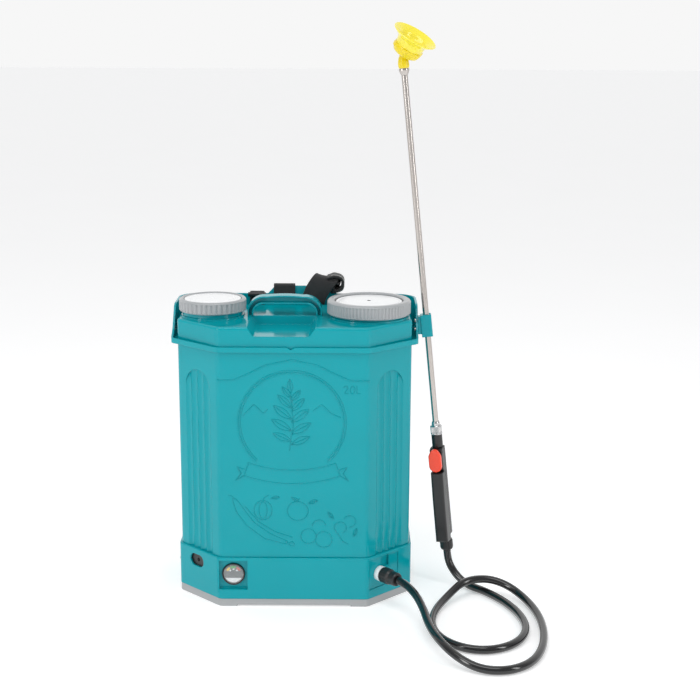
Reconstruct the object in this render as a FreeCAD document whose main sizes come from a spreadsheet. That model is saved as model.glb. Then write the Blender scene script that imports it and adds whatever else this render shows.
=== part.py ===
# Backpack sprayer with a 20 litre tank, a battery pump in its base and a spray wand.
# Millimetres. +X is the wearer's left, -Y the outward face, +Z up; origin at the middle of the underside.
import FreeCAD, Part
import math
import os
import re
import Sketcher

Vector = FreeCAD.Vector
Rotation = FreeCAD.Rotation
Placement = FreeCAD.Placement

SIZES = {
    # plan outline: an oblong with its two outward corners cut off
    "base_half": 180, "base_front": 102, "front_half": 112.4, "side_start": 36.6,
    "front_inset_rate": 0.405, "side_inset_rate": 0.424, "front_round": 11, "rear_round": 34,
    # base
    "plate_inset": 0.6, "plate_top": 12, "plate_floor": 4, "plate_rim": 7, "foot_relief": 2.5,
    "relief_half": 86, "relief_deep": 17, "base_top": 78, "base_wall": 3, "boss_radius": 5,
    "screw_radius": 1.7, "pilot_radius": 1.85, "screw_head": 3.6, "screw_deep": 2.6, "screw_length": 24,
    # gauge pocket on the outward face of the base
    "gauge_x": -91.7, "gauge_z": 50, "pocket_half": 21.5, "pocket_deep": 7, "gauge_radius": 17,
    # opening for the charging socket, on the cut corner beside the gauge
    "socket_x": -150.5, "socket_y": -65, "socket_z": 59.5, "socket_half": 15.5, "socket_radius": 9.7,
    # outlet on the other cut corner
    "outlet_x": 130.5, "outlet_y": -84.5, "outlet_z": 48, "outlet_radius": 8,
    # tank
    "tank_inset": 3.5, "tank_wall": 4, "tank_floor": 82, "tank_top": 400, "lid_top": 404,
    "shoulder_top": 433, "shoulder_back": 85, "shoulder_round": 4,
    "arch_half": 28, "arch_top": 362, "flute_half": 7, "flute_deep": 2.6, "drain_x": 78, "drain_y": 56,
    # carrying tray and handle
    "tray_x": -17, "tray_half": 50, "tray_floor_half": 41, "tray_floor": 419.5, "tray_back": -9,
    "tray_skin": 3.4, "handle_x": -16, "handle_half": 56.5, "handle_rise": 464, "handle_front": -11,
    "handle_deep": 20, "grip_half": 47.7, "grip_rise": 451, "channel_deep": 9,
    # filler necks and caps
    "big_x": 111.7, "big_y": -10.2, "big_low": 438.6, "big_radius": 63.4, "big_neck": 57,
    "small_x": -125.3, "small_y": -6.2, "small_low": 441.8, "small_radius": 50.8, "small_neck": 45,
    "neck_wall": 5, "neck_over": 13.4, "thread_gap": 1.2, "gasket_thick": 1.6, "flange_thick": 1,
    # rim frame round the tank's seam
    "rim_low": 396, "rim_half": 186.5, "rim_front": 102.5, "rim_front_half": 113.3, "rim_back": 103.2,
    "wing_wall": 3.2, "wing_top": 447, "wing_start": 17, "hump_top": 459.5, "hump_left": -43,
    "hump_right": 48, "bolt_x": 3, "bolt_z": 421,
    # wand
    "lance_x": 217.7, "lance_y": -2, "lance_z": 255, "lance_tilt": 6.03, "gun_turn": -20,
    "lance_radius": 4.65, "lance_wall": 0.7, "lance_length": 549.3, "fit_gap": 0.1,
    "grip_half_width": 9.75, "grip_low": -180, "seam_y": -4.2, "pipe_radius": 5.5,
    "pivot_y": -11, "pivot_z": -36, "pin_radius": 1.5, "stem_z": -55, "head_z": 566,
    "bell_x": 0.47, "bell_y": -0.31, "bell_z": 0.83, "hose_radius": 6,
    # pump, battery and straps
    "motor_x": 126, "motor_y": 17, "motor_z": 38, "motor_radius": 19,
    "battery_length": 151, "battery_width": 94, "battery_height": 62, "battery_x": -18,
    "battery_y": 22, "webbing": 2.4,
}

doc = FreeCAD.newDocument("backpack_sprayer")
sheet = doc.addObject("Spreadsheet::Sheet", "Sizes")
for row, (name, number) in enumerate(SIZES.items(), start=1):
    sheet.set("A%d" % row, name)
    sheet.set("B%d" % row, str(number))
    sheet.setAlias("B%d" % row, name)
doc.recompute()
nodes = []


# ---- small tools ----

def cells(text):
    """Turns the sheet's words in a formula into references to its cells."""
    return re.sub(r"[a-z][a-z_]*", lambda m: "Sizes." + m.group(0) if m.group(0) in SIZES else m.group(0),
            str(text))


def size(text):
    return float(sheet.evalExpression(cells(text)))


def bind(thing, prop, text):
    thing.setExpression(prop, cells(text))


def node(label, thing):
    """Registers a finished sub-part; its label is its file's name."""
    thing.Label = label
    nodes.append(thing)
    return thing


def origin_plane(body, role):
    return [feature for feature in body.Origin.OriginFeatures if feature.Role == role][0]


def sketch_on(body, role, lift):
    sketch = body.newObject("Sketcher::SketchObject", body.Name + "_sketch")
    sketch.AttachmentSupport = (origin_plane(body, role), [""])
    sketch.MapMode = "FlatFace"
    bind(sketch, "AttachmentOffset.Base.z", lift)
    return sketch


def pin_point(sketch, edge, end, x, y):
    """Holds a point of the sketch at the two formulas."""
    for kind, text in (("DistanceX", x), ("DistanceY", y)):
        index = sketch.addConstraint(Sketcher.Constraint(kind, -1, 1, edge, end, size(text)))
        bind(sketch, "Constraints[%d]" % index, text)


def draw(sketch, corners):
    """Closed outline; a corner with a third item starts an arc that passes through that point."""
    spots = [Vector(size(corner[0]), size(corner[1]), 0) for corner in corners]
    ends = []
    for index, corner in enumerate(corners):
        start, finish = spots[index], spots[(index + 1) % len(spots)]
        if len(corner) == 3:
            middle = Vector(size(corner[2][0]), size(corner[2][1]), 0)
            forward = (middle - start).cross(finish - start).z > 0
            arc = Part.Arc(start, middle, finish) if forward else Part.Arc(finish, middle, start)
            edge = sketch.addGeometry(arc, False)
            mark = sketch.addGeometry(Part.Point(middle), True)
            pin_point(sketch, mark, 1, *corner[2])
            sketch.addConstraint(Sketcher.Constraint("PointOnObject", mark, 1, edge))
            ends.append((edge, 1 if forward else 2, 2 if forward else 1))
        else:
            edge = sketch.addGeometry(Part.LineSegment(start, finish), False)
            ends.append((edge, 1, 2))
    for index, (edge, first, last) in enumerate(ends):
        following, following_first, _ = ends[(index + 1) % len(ends)]
        sketch.addConstraint(Sketcher.Constraint("Coincident", edge, last, following, following_first))
        pin_point(sketch, edge, first, corners[index][0], corners[index][1])


def padded(name, role, corners, start, length, place=None):
    """A body made by one pad. XY pads rise from start, XZ pads run back from y = start, YZ pads go to +X."""
    body = doc.addObject("PartDesign::Body", name)
    backward = role == "XZ_Plane"
    sketch = sketch_on(body, role, "-(%s)" % start if backward else start)
    draw(sketch, corners)
    pad = body.newObject("PartDesign::Pad", name + "_pad")
    pad.Profile = sketch
    pad.Reversed = backward
    bind(pad, "Length", length)
    if place is not None:
        body.Placement = place
    return body


def turned(name, profile, place=None):
    """A body made by turning a profile of (radius, height) points round its own Z axis."""
    body = doc.addObject("PartDesign::Body", name)
    sketch = sketch_on(body, "XZ_Plane", 0)
    draw(sketch, profile)
    turn = body.newObject("PartDesign::Revolution", name + "_turn")
    turn.Profile = sketch
    turn.ReferenceAxis = (sketch, ["V_Axis"])
    turn.Angle = 360
    if place is not None:
        body.Placement = place
    return body


def pocketed(body, role, corners, start, depth):
    """Cuts an outline into a body, from start towards the inside: down, back or to -X."""
    doc.recompute()
    before = body.Shape.Volume
    sketch = sketch_on(body, role, "-(%s)" % start if role == "XZ_Plane" else start)
    draw(sketch, corners)
    pocket = body.newObject("PartDesign::Pocket", body.Name + "_pocket")
    pocket.Profile = sketch
    bind(pocket, "Length", depth)
    doc.recompute()
    if not body.Shape.Volume < before - 1e-3:
        raise RuntimeError(body.Name + ": the pocket cut nothing")
    return pocket


def rounded(body, radius, wanted):
    """Rounds the edges of a body that wanted() picks."""
    doc.recompute()
    tip = body.Tip
    names = ["Edge%d" % number for number, edge in enumerate(tip.Shape.Edges, start=1) if wanted(edge)]
    fillet = body.newObject("PartDesign::Fillet", body.Name + "_round")
    fillet.Base = (tip, names)
    bind(fillet, "Radius", radius)
    doc.recompute()
    return fillet


def upright(edge):
    low, high = edge.BoundBox.ZMin, edge.BoundBox.ZMax
    return edge.BoundBox.XLength < 1e-6 and edge.BoundBox.YLength < 1e-6 and high - low > 1e-3


def at_height(level):
    return lambda edge: abs(edge.BoundBox.ZMin - level) < 1e-4 and edge.BoundBox.ZLength < 1e-4


def rod(name, radius, length, start, along=(0, 0, 1), place=None):
    """Part::Cylinder from a point along a direction, in the world or in a placed frame."""
    cylinder = doc.addObject("Part::Cylinder", name)
    bind(cylinder, "Radius", radius)
    bind(cylinder, "Height", length)
    spot = Placement(Vector(*[size(part) for part in start]), Rotation(Vector(0, 0, 1), Vector(*along)))
    cylinder.Placement = place.multiply(spot) if place is not None else spot
    return cylinder


def block(name, low, high, place=None):
    """Part::Box between two corners given as formulas."""
    box = doc.addObject("Part::Box", name)
    for prop, near, far in zip(("Length", "Width", "Height"), low, high):
        bind(box, prop, "(%s) - (%s)" % (far, near))
    spot = Placement(Vector(*[size(part) for part in low]), Rotation())
    box.Placement = place.multiply(spot) if place is not None else spot
    return box


def joined(name, parts):
    if len(parts) == 1:
        return parts[0]
    union = doc.addObject("Part::MultiFuse", name)
    union.Shapes = parts
    return union


def cut(name, base, tools):
    result = doc.addObject("Part::Cut", name)
    result.Base = base
    result.Tool = joined(name + "_tools", tools)
    return result


def grouped(name, solids):
    """Loose solids that belong to one node, such as a set of screws."""
    group = doc.addObject("Part::Compound", name)
    group.Links = solids
    return group


def plan(inset, back="base_front"):
    """The sprayer's plan outline, drawn in by an inset; the front corners are cut, the rear ones square."""
    half = "base_half - (%s)" % inset
    front = "base_front - (%s)" % inset
    rear = "%s - (%s)" % (back, inset)
    nose = "front_half - front_inset_rate * (%s)" % inset
    side = "-side_start + side_inset_rate * (%s)" % inset
    return [(nose, "-(%s)" % front), (half, side), (half, rear),
            ("-(%s)" % half, rear), ("-(%s)" % half, side), ("-(%s)" % nose, "-(%s)" % front)]


def plan_block(name, inset, low, high, back="base_front"):
    """An upright block of the plan outline with its four front edges and two rear edges rounded."""
    body = padded(name, "XY_Plane", plan(inset, back), low, "(%s) - (%s)" % (high, low))
    rounded(body, "front_round", lambda edge: upright(edge) and edge.BoundBox.YMin < 0)
    rounded(body, "rear_round - (%s)" % inset,
            lambda edge: upright(edge) and edge.BoundBox.YMin > size("shoulder_back") - 30
            and edge.BoundBox.ZLength > size(high) - size(low) - 1e-3)
    return body


def corner_frame(x, y, z, side):
    """A frame on a cut front corner: Z out of the face, Y up; side is -1 by the gauge, 1 by the outlet."""
    run = size("base_half - front_half")
    drop = size("base_front - side_start")
    length = math.hypot(run, drop)
    outward = Vector(side * drop / length, -run / length, 0)
    upward = Vector(0, 0, 1)
    across = upward.cross(outward)
    turn = Rotation(across, upward, outward, "ZXY")
    return Placement(Vector(size(x), size(y), size(z)), turn)


def ribs(name, count, radius, low, high, distance, place):
    """Upright round cutters in a circle, for a fluted grip."""
    cutters = []
    for number in range(count):
        angle = 2 * math.pi * number / count
        spot = (distance * math.cos(angle), distance * math.sin(angle), low)
        cutters.append(rod("%s_%d" % (name, number), radius, high - low, spot, place=place))
    return cutters


wand_turn = Rotation(Vector(0, 1, 0), -size("lance_tilt"))
wand_base = Vector(size("lance_x"), size("lance_y"), size("lance_z"))
clip_place = Placement(wand_base, wand_turn)
wand_place = Placement(wand_base, wand_turn.multiply(Rotation(Vector(0, 0, 1), size("gun_turn"))))
bell_base = wand_place.multVec(Vector(0, 0, size("head_z")))
bell_place = Placement(bell_base, Rotation(Vector(0, 0, 1),
        Vector(size("bell_x"), size("bell_y"), size("bell_z"))))
big_place = Placement(Vector(size("big_x"), size("big_y"), size("big_low")), Rotation())
small_place = Placement(Vector(size("small_x"), size("small_y"), size("small_low")), Rotation())
outlet_place = corner_frame("outlet_x", "outlet_y", "outlet_z", 1)
socket_place = corner_frame("socket_x", "socket_y", "socket_z", -1)
SCREW_SPOTS = [(58, -88), (-52, -88), (166, 40), (-166, 40), (136, 84), (-136, 84)]


# ---- base ----

def base_plate():
    outer = plan_block("plate_outer", "plate_inset", 0, "plate_top")
    tray = plan_block("plate_tray", "plate_rim", "plate_floor", "plate_top + 1")
    cutters = [tray]
    for side in (-1, 1):
        near = "%d * (base_front - relief_deep / 2) - relief_deep / 2" % side
        cutters.append(block("foot_relief_%d" % (side + 1), ("-relief_half", near, -1),
                             ("relief_half", "(%s) + relief_deep" % near, "foot_relief")))
    for number, (x, y) in enumerate(SCREW_SPOTS):
        cutters.append(rod("plate_hole_%d" % number, "pilot_radius", 20, (x, y, -1)))
        cutters.append(rod("plate_sink_%d" % number, "screw_head + 0.4", "screw_deep + 0.2", (x, y, 0)))
    node("base_plate", cut("base_plate_cut", outer, cutters))


def base_screws():
    screws = []
    for number, (x, y) in enumerate(SCREW_SPOTS):
        head = rod("screw_head_%d" % number, "screw_head", "screw_deep - 0.6", (x, y, 0.6))
        shank = rod("screw_shank_%d" % number, "screw_radius", "screw_length", (x, y, "screw_deep"))
        screws.append(joined("base_screw_%d" % number, [head, shank]))
    node("base_screws", grouped("base_screw_set", screws))


def base_housing():
    outer = plan_block("housing_outer", 0, "plate_top", "base_top")
    rounded(outer, 1.6, at_height(size("base_top")))
    inner = plan_block("housing_inner", "base_wall", "plate_top - 1", "base_top - base_wall")
    backing = block("gauge_backing", ("gauge_x - pocket_half - 3", "-base_front + 1",
            "gauge_z - pocket_half - 5"),
                    ("gauge_x + pocket_half + 3", "-base_front + pocket_deep + 3", "base_top - 1"))
    bosses = [rod("boss_%d" % number, "boss_radius", "base_top - base_wall - plate_floor + 1",
                  (x, y, "plate_floor + 0.2")) for number, (x, y) in enumerate(SCREW_SPOTS)]
    port_boss = rod("port_boss", "outlet_radius + 6", 8, (0, 0, -9), place=outlet_place)
    shell = cut("housing_shell", outer, [inner])
    solid = joined("housing_solid", [shell, backing, port_boss] + bosses)
    pocket = block("gauge_pocket", ("gauge_x - pocket_half", "-base_front - 1",
            "gauge_z - pocket_half - 1.5"),
                   ("gauge_x + pocket_half", "-base_front + pocket_deep", "gauge_z + pocket_half + 1.5"))
    window = rod("gauge_window", "gauge_radius + 0.3", 20, ("gauge_x", "-base_front - 1", "gauge_z"),
            (0, 1, 0))
    oval = [rod("socket_end_%d" % (side + 1), "socket_radius", 30,
                ("%d * (socket_half - socket_radius)" % side, 0, -25),
                        place=socket_place) for side in (-1, 1)]
    oval.append(block("socket_middle", ("socket_radius - socket_half", "-socket_radius", -25),
                      ("socket_half - socket_radius", "socket_radius", 5), place=socket_place))
    port = rod("port_hole", "outlet_radius + 0.3", 30, (0, 0, -20), place=outlet_place)
    panel = block("port_panel", (-22, -22, -1.2), (40, 25, 5), place=outlet_place)
    slot = block("port_slot", (4, 8, -4.5), (20, 25.5, 5), place=outlet_place)
    slot_backing = block("slot_backing", (1, 5, -7.5), (23, 28, -1), place=outlet_place)
    switch = block("switch_hole", ("-base_half - 5", -11.2, 35.8), ("-base_half + 12", 11.2, 56.2))
    drain = rod("deck_hole", 24, 20, ("drain_x", "drain_y", "base_top - 10"))
    pilots = [rod("boss_pilot_%d" % number, "pilot_radius", "screw_length + 2", (x, y, "plate_floor - 1"))
              for number, (x, y) in enumerate(SCREW_SPOTS)]
    backed = joined("housing_backed", [solid, slot_backing])
    cutters = [pocket, window, port, panel, slot, switch, drain] + oval + pilots
    lugs = [strap_lug(side) for side in (-1, 1)]
    node("base_housing", joined("housing_all", [cut("housing_cut", backed, cutters)] + lugs))


def strap_lug(side):
    """Two cheeks on the wearer's face that hold the bar for the lower webbing."""
    cheeks = []
    for place in (-1, 1):
        middle = "%d * 47 + %d * 20" % (side, place)
        cheeks.append(block("cheek_%d_%d" % (side + 1, place + 1),
                ("(%s) - 2" % middle, "base_front - 0.5", 34),
                            ("(%s) + 2" % middle, "base_front + 12", 50)))
    both = joined("lug_%d" % (side + 1), cheeks)
    bar_hole = rod("lug_hole_%d" % (side + 1), 2.05, 60, ("%d * 47 - 30" % side, "base_front + 7", 42),
            (1, 0, 0))
    return cut("lug_cut_%d" % (side + 1), both, [bar_hole])


def strap_bars():
    bars = [rod("bar_%d" % (side + 1), 2, 45, ("%d * 47 - 22.5" % side, "base_front + 7", 42), (1, 0, 0))
            for side in (-1, 1)]
    node("strap_bars", grouped("strap_bar_set", bars))


# ---- gauge, switch and charging socket ----

def battery_gauge():
    face = "-base_front + pocket_deep"
    aim = Placement(Vector(size("gauge_x"), size(face), size("gauge_z")), Rotation(Vector(1, 0, 0), 90))
    node("gauge_cup", turned("gauge_cup_body", [
        (0, -16), ("gauge_radius - 1", -16), ("gauge_radius", -15), ("gauge_radius", 3.2),
        ("gauge_radius - 1.4", 3.2), ("gauge_radius - 1.4", -14), (0, -14)], aim))
    board = turned("gauge_board_body", [
        (0, -6), ("gauge_radius - 1.8", -6), ("gauge_radius - 1.8", -4.5), (0, -4.5)], aim)
    lamps = [rod("lamp_%d" % number, 1.5, 4.8, (7.4 * math.sin(turn), 7.4 * math.cos(turn), -4.4),
            place=aim)
             for number, turn in enumerate((-0.75, 0, 0.75))]
    node("gauge_board", grouped("board_and_lamps", [board] + lamps))
    holes = [rod("lamp_hole_%d" % number, 1.7, 4, (7.4 * math.sin(turn), 7.4 * math.cos(turn), -1),
            place=aim)
             for number, turn in enumerate((-0.75, 0, 0.75))]
    face_disc = turned("gauge_face_body", [(0, 0), ("gauge_radius - 1.8", 0), ("gauge_radius - 1.8", 1),
            (0, 1)], aim)
    node("gauge_face", cut("gauge_face_cut", face_disc, holes))
    node("gauge_lens", turned("gauge_lens_body", [
        (0, 1.6), ("gauge_radius - 1.7", 1.6), ("gauge_radius - 1.7", 2.6), (0, 3)], aim))


def power_switch():
    frame = block("switch_frame_block", ("-base_half - 1.8", -14, 33), ("-base_half", 14, 59))
    neck = block("switch_neck", ("-base_half - 0.5", -11, 36), ("-base_half + 16", 11, 56))
    opening = block("switch_opening", ("-base_half - 5", -7, 38.5), ("-base_half + 10", 7, 53.5))
    frame_solid = joined("switch_solid", [frame, neck])
    axle = rod("rocker_pin_rod", 1, 14, ("-base_half + 1.5", -7, 46), (0, 1, 0))
    framed = cut("switch_frame_cut", frame_solid, [opening])
    node("switch_frame", joined("switch_frame_all", [framed, axle]))
    rocker = padded("rocker_body", "XZ_Plane", [
        ("-base_half - 4.4", 39.6), ("-base_half - 2.6", 46), ("-base_half - 2.6", 52.4),
        ("-base_half + 4", 52.4, ("-base_half + 6.2", 46)), ("-base_half + 4", 39.6)], -6.5, 13)
    axle_hole = rod("rocker_hole", 1.05, 30, ("-base_half + 1.5", -15, 46), (0, 1, 0))
    node("power_rocker", cut("power_rocker_cut", rocker, [axle_hole]))


def charging_socket():
    barrel = rod("socket_barrel", 6, 14, (0, 0, -20), place=socket_place)
    plate = block("socket_plate", (-18, -12, -6), (18, 12, -3.4), place=socket_place)
    bore = rod("socket_bore", 2.8, 12, (0, 0, -12), place=socket_place)
    body = cut("socket_body", joined("socket_solid", [barrel, plate]), [bore])
    pin = rod("socket_pin_rod", 1, 9, (0, 0, -12.5), place=socket_place)
    node("charging_socket", joined("charging_socket_all", [body, pin]))


# ---- battery, pump and plumbing inside the base ----

def battery_pack():
    low = ("battery_x - battery_length / 2", "battery_y - battery_width / 2", "plate_floor + 0.4")
    high = ("battery_x + battery_length / 2", "battery_y + battery_width / 2",
            "plate_floor + 0.4 + battery_height")
    case = block("battery_case", low, high)
    posts = [block("post_%d" % number, ("battery_x + %d" % x, "battery_y - battery_width / 2 - 4", 44),
                   ("battery_x + %d" % (x + 6), "battery_y - battery_width / 2 + 1", 52))
             for number, x in enumerate((-60, 54))]
    node("battery", joined("battery_all", [case] + posts))
    outer = block("strap_outer", ("battery_x - 12", "battery_y - battery_width / 2 - 2.2", "plate_floor"),
                  ("battery_x + 12", "battery_y + battery_width / 2 + 2.2",
                          "plate_floor + battery_height + 2.6"))
    inner = block("strap_inner", ("battery_x - 13", "battery_y - battery_width / 2 - 0.4",
            "plate_floor - 1"),
                  ("battery_x + 13", "battery_y + battery_width / 2 + 0.4",
                          "plate_floor + battery_height + 0.8"))
    feet = [block("strap_foot_%d" % (side + 1), ("battery_x - 12", middle + " - 8", "plate_floor"),
                  ("battery_x + 12", middle + " + 8", "plate_floor + 1.8"))
            for side, middle in ((-1, "battery_y - battery_width / 2 - 9"),
                    (1, "battery_y + battery_width / 2 + 9"))]
    node("battery_strap", cut("battery_strap_cut", joined("battery_strap_solid", [outer] + feet),
            [inner]))


def pump():
    across = Placement(Vector(size("motor_x"), size("motor_y"), size("motor_z")),
            Rotation(Vector(1, 0, 0), -90))
    node("pump_motor", turned("pump_motor_body", [
        (0, 0), (9, 0), (9, 4), ("motor_radius - 1", 4), ("motor_radius", 5), ("motor_radius", 54),
        ("motor_radius - 2", 56), (0, 56)], across))
    head = block("pump_head_block", ("motor_x - 24", "motor_y - 34", "motor_z - 24"),
                 ("motor_x + 24", "motor_y - 0.4", "motor_z + 24"))
    inlet = rod("pump_inlet", 6, 10, ("motor_x - 33", "motor_y - 18", "motor_z + 12"), (1, 0, 0))
    outlet = rod("pump_outlet", 5, 9, ("motor_x - 19", "motor_y - 42.5", "motor_z + 10"), (0, 1, 0))
    node("pump_head", joined("pump_head_all", [head, inlet, outlet]))
    saddle = block("bracket_block", ("motor_x - 24", "motor_y + 12", "plate_floor + 4.2"),
                   ("motor_x + 24", "motor_y + 46", "motor_z"))
    bed = rod("bracket_bed", "motor_radius + 0.3", 60, ("motor_x", "motor_y", "motor_z"), (0, 1, 0))
    bracket = cut("pump_bracket_cut", saddle, [bed])
    feet = [rod("foot_%d" % number, 5, 4, ("motor_x + %d" % x, "motor_y + %d" % y, "plate_floor + 0.1"))
            for number, (x, y) in enumerate([(-17, 19), (17, 19), (-17, 39), (17, 39)])]
    node("pump_bracket", grouped("bracket_and_feet", [bracket] + feet))


def bent_tube(name, points, radius):
    """A tube of straight runs joined by tangent arcs, with the radius of every arc printed."""
    spots = [Vector(*point) for point in points]
    runs = [(after - before).Length for before, after in zip(spots, spots[1:])]
    edges = []
    start = spots[0]
    radii = []
    for index in range(1, len(spots) - 1):
        back = (spots[index - 1] - spots[index]).normalize()
        ahead = (spots[index + 1] - spots[index]).normalize()
        turn = math.pi - back.getAngle(ahead)
        reach = 0.45 * min(runs[index - 1], runs[index])
        radii.append(reach / math.tan(turn / 2))
        enter = spots[index] + back * reach
        leave = spots[index] + ahead * reach
        inward = (back + ahead).normalize()
        middle = spots[index] + inward * (radii[-1] / math.cos(turn / 2) - radii[-1])
        edges.append(Part.LineSegment(start, enter).toShape())
        edges.append(Part.Arc(enter, middle, leave).toShape())
        start = leave
    edges.append(Part.LineSegment(start, spots[-1]).toShape())
    path = Part.Wire(edges)
    circle = Part.Circle(spots[0], spots[1] - spots[0], radius)
    section = Part.Wire([circle.toShape()])
    solid = path.makePipeShell([section], True, False, 1)
    tube = doc.addObject("Part::Feature", name)
    tube.Shape = solid
    print(name, "length %.0f" % path.Length, "radii", [round(value) for value in radii],
          "volume ratio %.4f" % (solid.Volume / (path.Length * math.pi * radius ** 2)))
    return tube


def base_plumbing():
    x, y = size("drain_x"), size("drain_y")
    inlet = Vector(size("motor_x") - 33.4, size("motor_y") - 18, size("motor_z") + 12)
    node("suction_hose", bent_tube("suction_tube", [
        (x, y, 63.7), (x, y, 47), (x - 5, y - 18, 37), (x - 11, y - 38, 37), (x - 8, y - 53, 43),
        (inlet.x - 12, inlet.y, inlet.z), tuple(inlet)], 4.6))
    spigot = Vector(size("motor_x") - 19, size("motor_y") - 42.7, size("motor_z") + 10)
    port = outlet_place.multVec(Vector(0, 0, -24.2))
    port_lead = outlet_place.multVec(Vector(0, 0, -33))
    node("pressure_hose", bent_tube("pressure_tube", [
        tuple(spigot), (spigot.x - 0.5, spigot.y - 13, spigot.z),
                (port_lead.x - 2.5, port_lead.y + 9, port_lead.z),
        tuple(port_lead), tuple(port)], 3.6))


def outlet_fitting():
    node("outlet_union", turned("outlet_union_body", [
        (3, -24), (4.5, -24), (4.5, -12), (7.9, -11.8), (7.9, -1), (11.6, -1), (11.6, 6.6), (10.8, 7.4),
        (7, 7.4), (7, 20), (3, 20)], outlet_place))
    washer = turned("outlet_washer_body", [
        (8.4, -11.4), (13.5, -11.4), (13.5, -9.4), (8.4, -9.4)], outlet_place)
    nut = turned("outlet_nut_body", [
        (7.3, 7.8), (11.4, 7.8), (12, 9), (12, 22), (10.4, 26), (10.4, 36), (9.4, 38), (6.2, 38),
                (6.2, 20.4),
        (7.3, 20.2)], outlet_place)
    node("outlet_nut", cut("outlet_nut_cut", nut, ribs("outlet_rib", 14, 1, 8.6, 24, 12.5, outlet_place)))
    ring = turned("outlet_ring_body", [(3.4, 20.2), (6, 20.2), (6, 21.8), (3.4, 21.8)], outlet_place)
    node("outlet_seals", grouped("outlet_seal_set", [washer, ring]))


# ---- tank ----

def flute_tool(side):
    """The arched, fluted recess of a cut corner: four round channels that end in one arch."""
    deep = size("flute_half") ** 2 / (2 * size("flute_deep")) + size("flute_deep") / 2
    place = corner_frame("%d * (front_half + base_half) / 2" % side, "-(base_front + side_start) / 2", 0,
            side)
    inset = "-tank_inset"
    arch = padded("arch_%d" % (side + 1), "XY_Plane", [
        ("-arch_half", "base_top - 2"), ("arch_half", "base_top - 2"),
        ("arch_half", "arch_top - arch_half", (0, "arch_top")), ("-arch_half", "arch_top - arch_half")],
        inset + " - 6", 12, place)
    channels = []
    for number in range(4):
        x = "flute_half * %d" % (2 * number - 3)
        spot = (x, 0, "%s + %.4f" % (inset, deep - size("flute_deep")))
        channels.append(rod("flute_%d_%d" % (side + 1, number), deep, "arch_top + 4", spot, (0, 1, 0),
                place))
    common = doc.addObject("Part::MultiCommon", "flutes_%d" % (side + 1))
    common.Shapes = [arch, joined("channels_%d" % (side + 1), channels)]
    return common


def tank_shell():
    outer = plan_block("tank_outer", "tank_inset", "base_top", "tank_top")
    inner = plan_block("tank_inner", "tank_inset + tank_wall", "tank_floor", "tank_top + 1")
    drain = rod("tank_drain", 10.3, 20, ("drain_x", "drain_y", "base_top - 5"))
    node("tank_shell", cut("tank_shell_cut", outer, [inner, drain, flute_tool(-1), flute_tool(1)]))
    place = Placement(Vector(size("drain_x"), size("drain_y"), 0), Rotation())
    tail = turned("tank_outlet_body", [
        (3, 64), (5, 64), (5, 74), (10, 74.2), (10, "tank_floor + 0.2"), (15, "tank_floor + 0.2"),
        (15, "tank_floor + 3"), (3, "tank_floor + 3")], place)
    locknut = turned("outlet_locknut_body", [
        (10.3, 71.5), (17, 71.5), (17, "base_top - 0.2"), (10.3, "base_top - 0.2")], place)
    strainer = turned("drain_strainer_body", [
        (0, "tank_floor + 26"), (0, "tank_floor + 24.8"), (10.8, "tank_floor + 24.8"),
                (10.8, "tank_floor + 3.2"),
        (12, "tank_floor + 3.2"), (12, "tank_floor + 26")], place)
    node("tank_outlet", grouped("tank_outlet_set", [tail, locknut, strainer]))


def tank_lid():
    cover = plan_block("lid_plate", "tank_inset", "tank_top", "lid_top")
    shoulder = plan_block("shoulder", "tank_inset", "tank_top", "shoulder_top", "shoulder_back")
    rounded(shoulder, "shoulder_round", at_height(size("shoulder_top")))
    hollow = plan_block("lid_hollow", "tank_inset + tank_wall", "tank_top - 1",
            "shoulder_top - tank_wall",
                        "shoulder_back")
    tray_outline = [("tray_x - tray_half - 1", "shoulder_top + 1"),
            ("tray_x - tray_floor_half", "tray_floor"),
                    ("tray_x + tray_floor_half", "tray_floor"),
                            ("tray_x + tray_half + 1", "shoulder_top + 1")]
    lump_outline = [("tray_x - tray_half - 4.6", "shoulder_top - 1.5"),
                    ("tray_x - tray_floor_half - 4.6", "tray_floor - tray_skin"),
                    ("tray_x + tray_floor_half + 4.6", "tray_floor - tray_skin"),
                    ("tray_x + tray_half + 4.6", "shoulder_top - 1.5")]
    lump = padded("tray_lump", "XZ_Plane", lump_outline, "-base_front + tank_inset + 1",
                  "base_front - tank_inset + tray_back + tray_skin - 1")
    tray = padded("tray", "XZ_Plane", tray_outline, "-base_front - 5", "base_front + tray_back + 5")
    rounded(tray, 5, lambda edge: abs(edge.BoundBox.ZMin - size("tray_floor")) < 1e-4
            and edge.BoundBox.ZLength < 1e-4 and edge.BoundBox.YLength > 50)
    skin = cut("lid_skin", joined("lid_solid", [cover, shoulder]), [hollow])
    parts = [skin, lump]
    bores = [tray]
    for name in ("big", "small"):
        middle = (name + "_x", name + "_y")
        parts.append(rod(name + "_neck_rod", name + "_neck", name + "_low + neck_over - shoulder_top + 2",
                         middle + ("shoulder_top - 2",)))
        parts.append(rod(name + "_neck_foot", name + "_neck + 3", 4.5, middle + ("shoulder_top - 2",)))
        bores.append(rod(name + "_neck_bore", name + "_neck - neck_wall", 80,
                middle + ("shoulder_top - 30",)))
    node("tank_lid", cut("tank_lid_cut", joined("lid_all", parts), bores))


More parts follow.
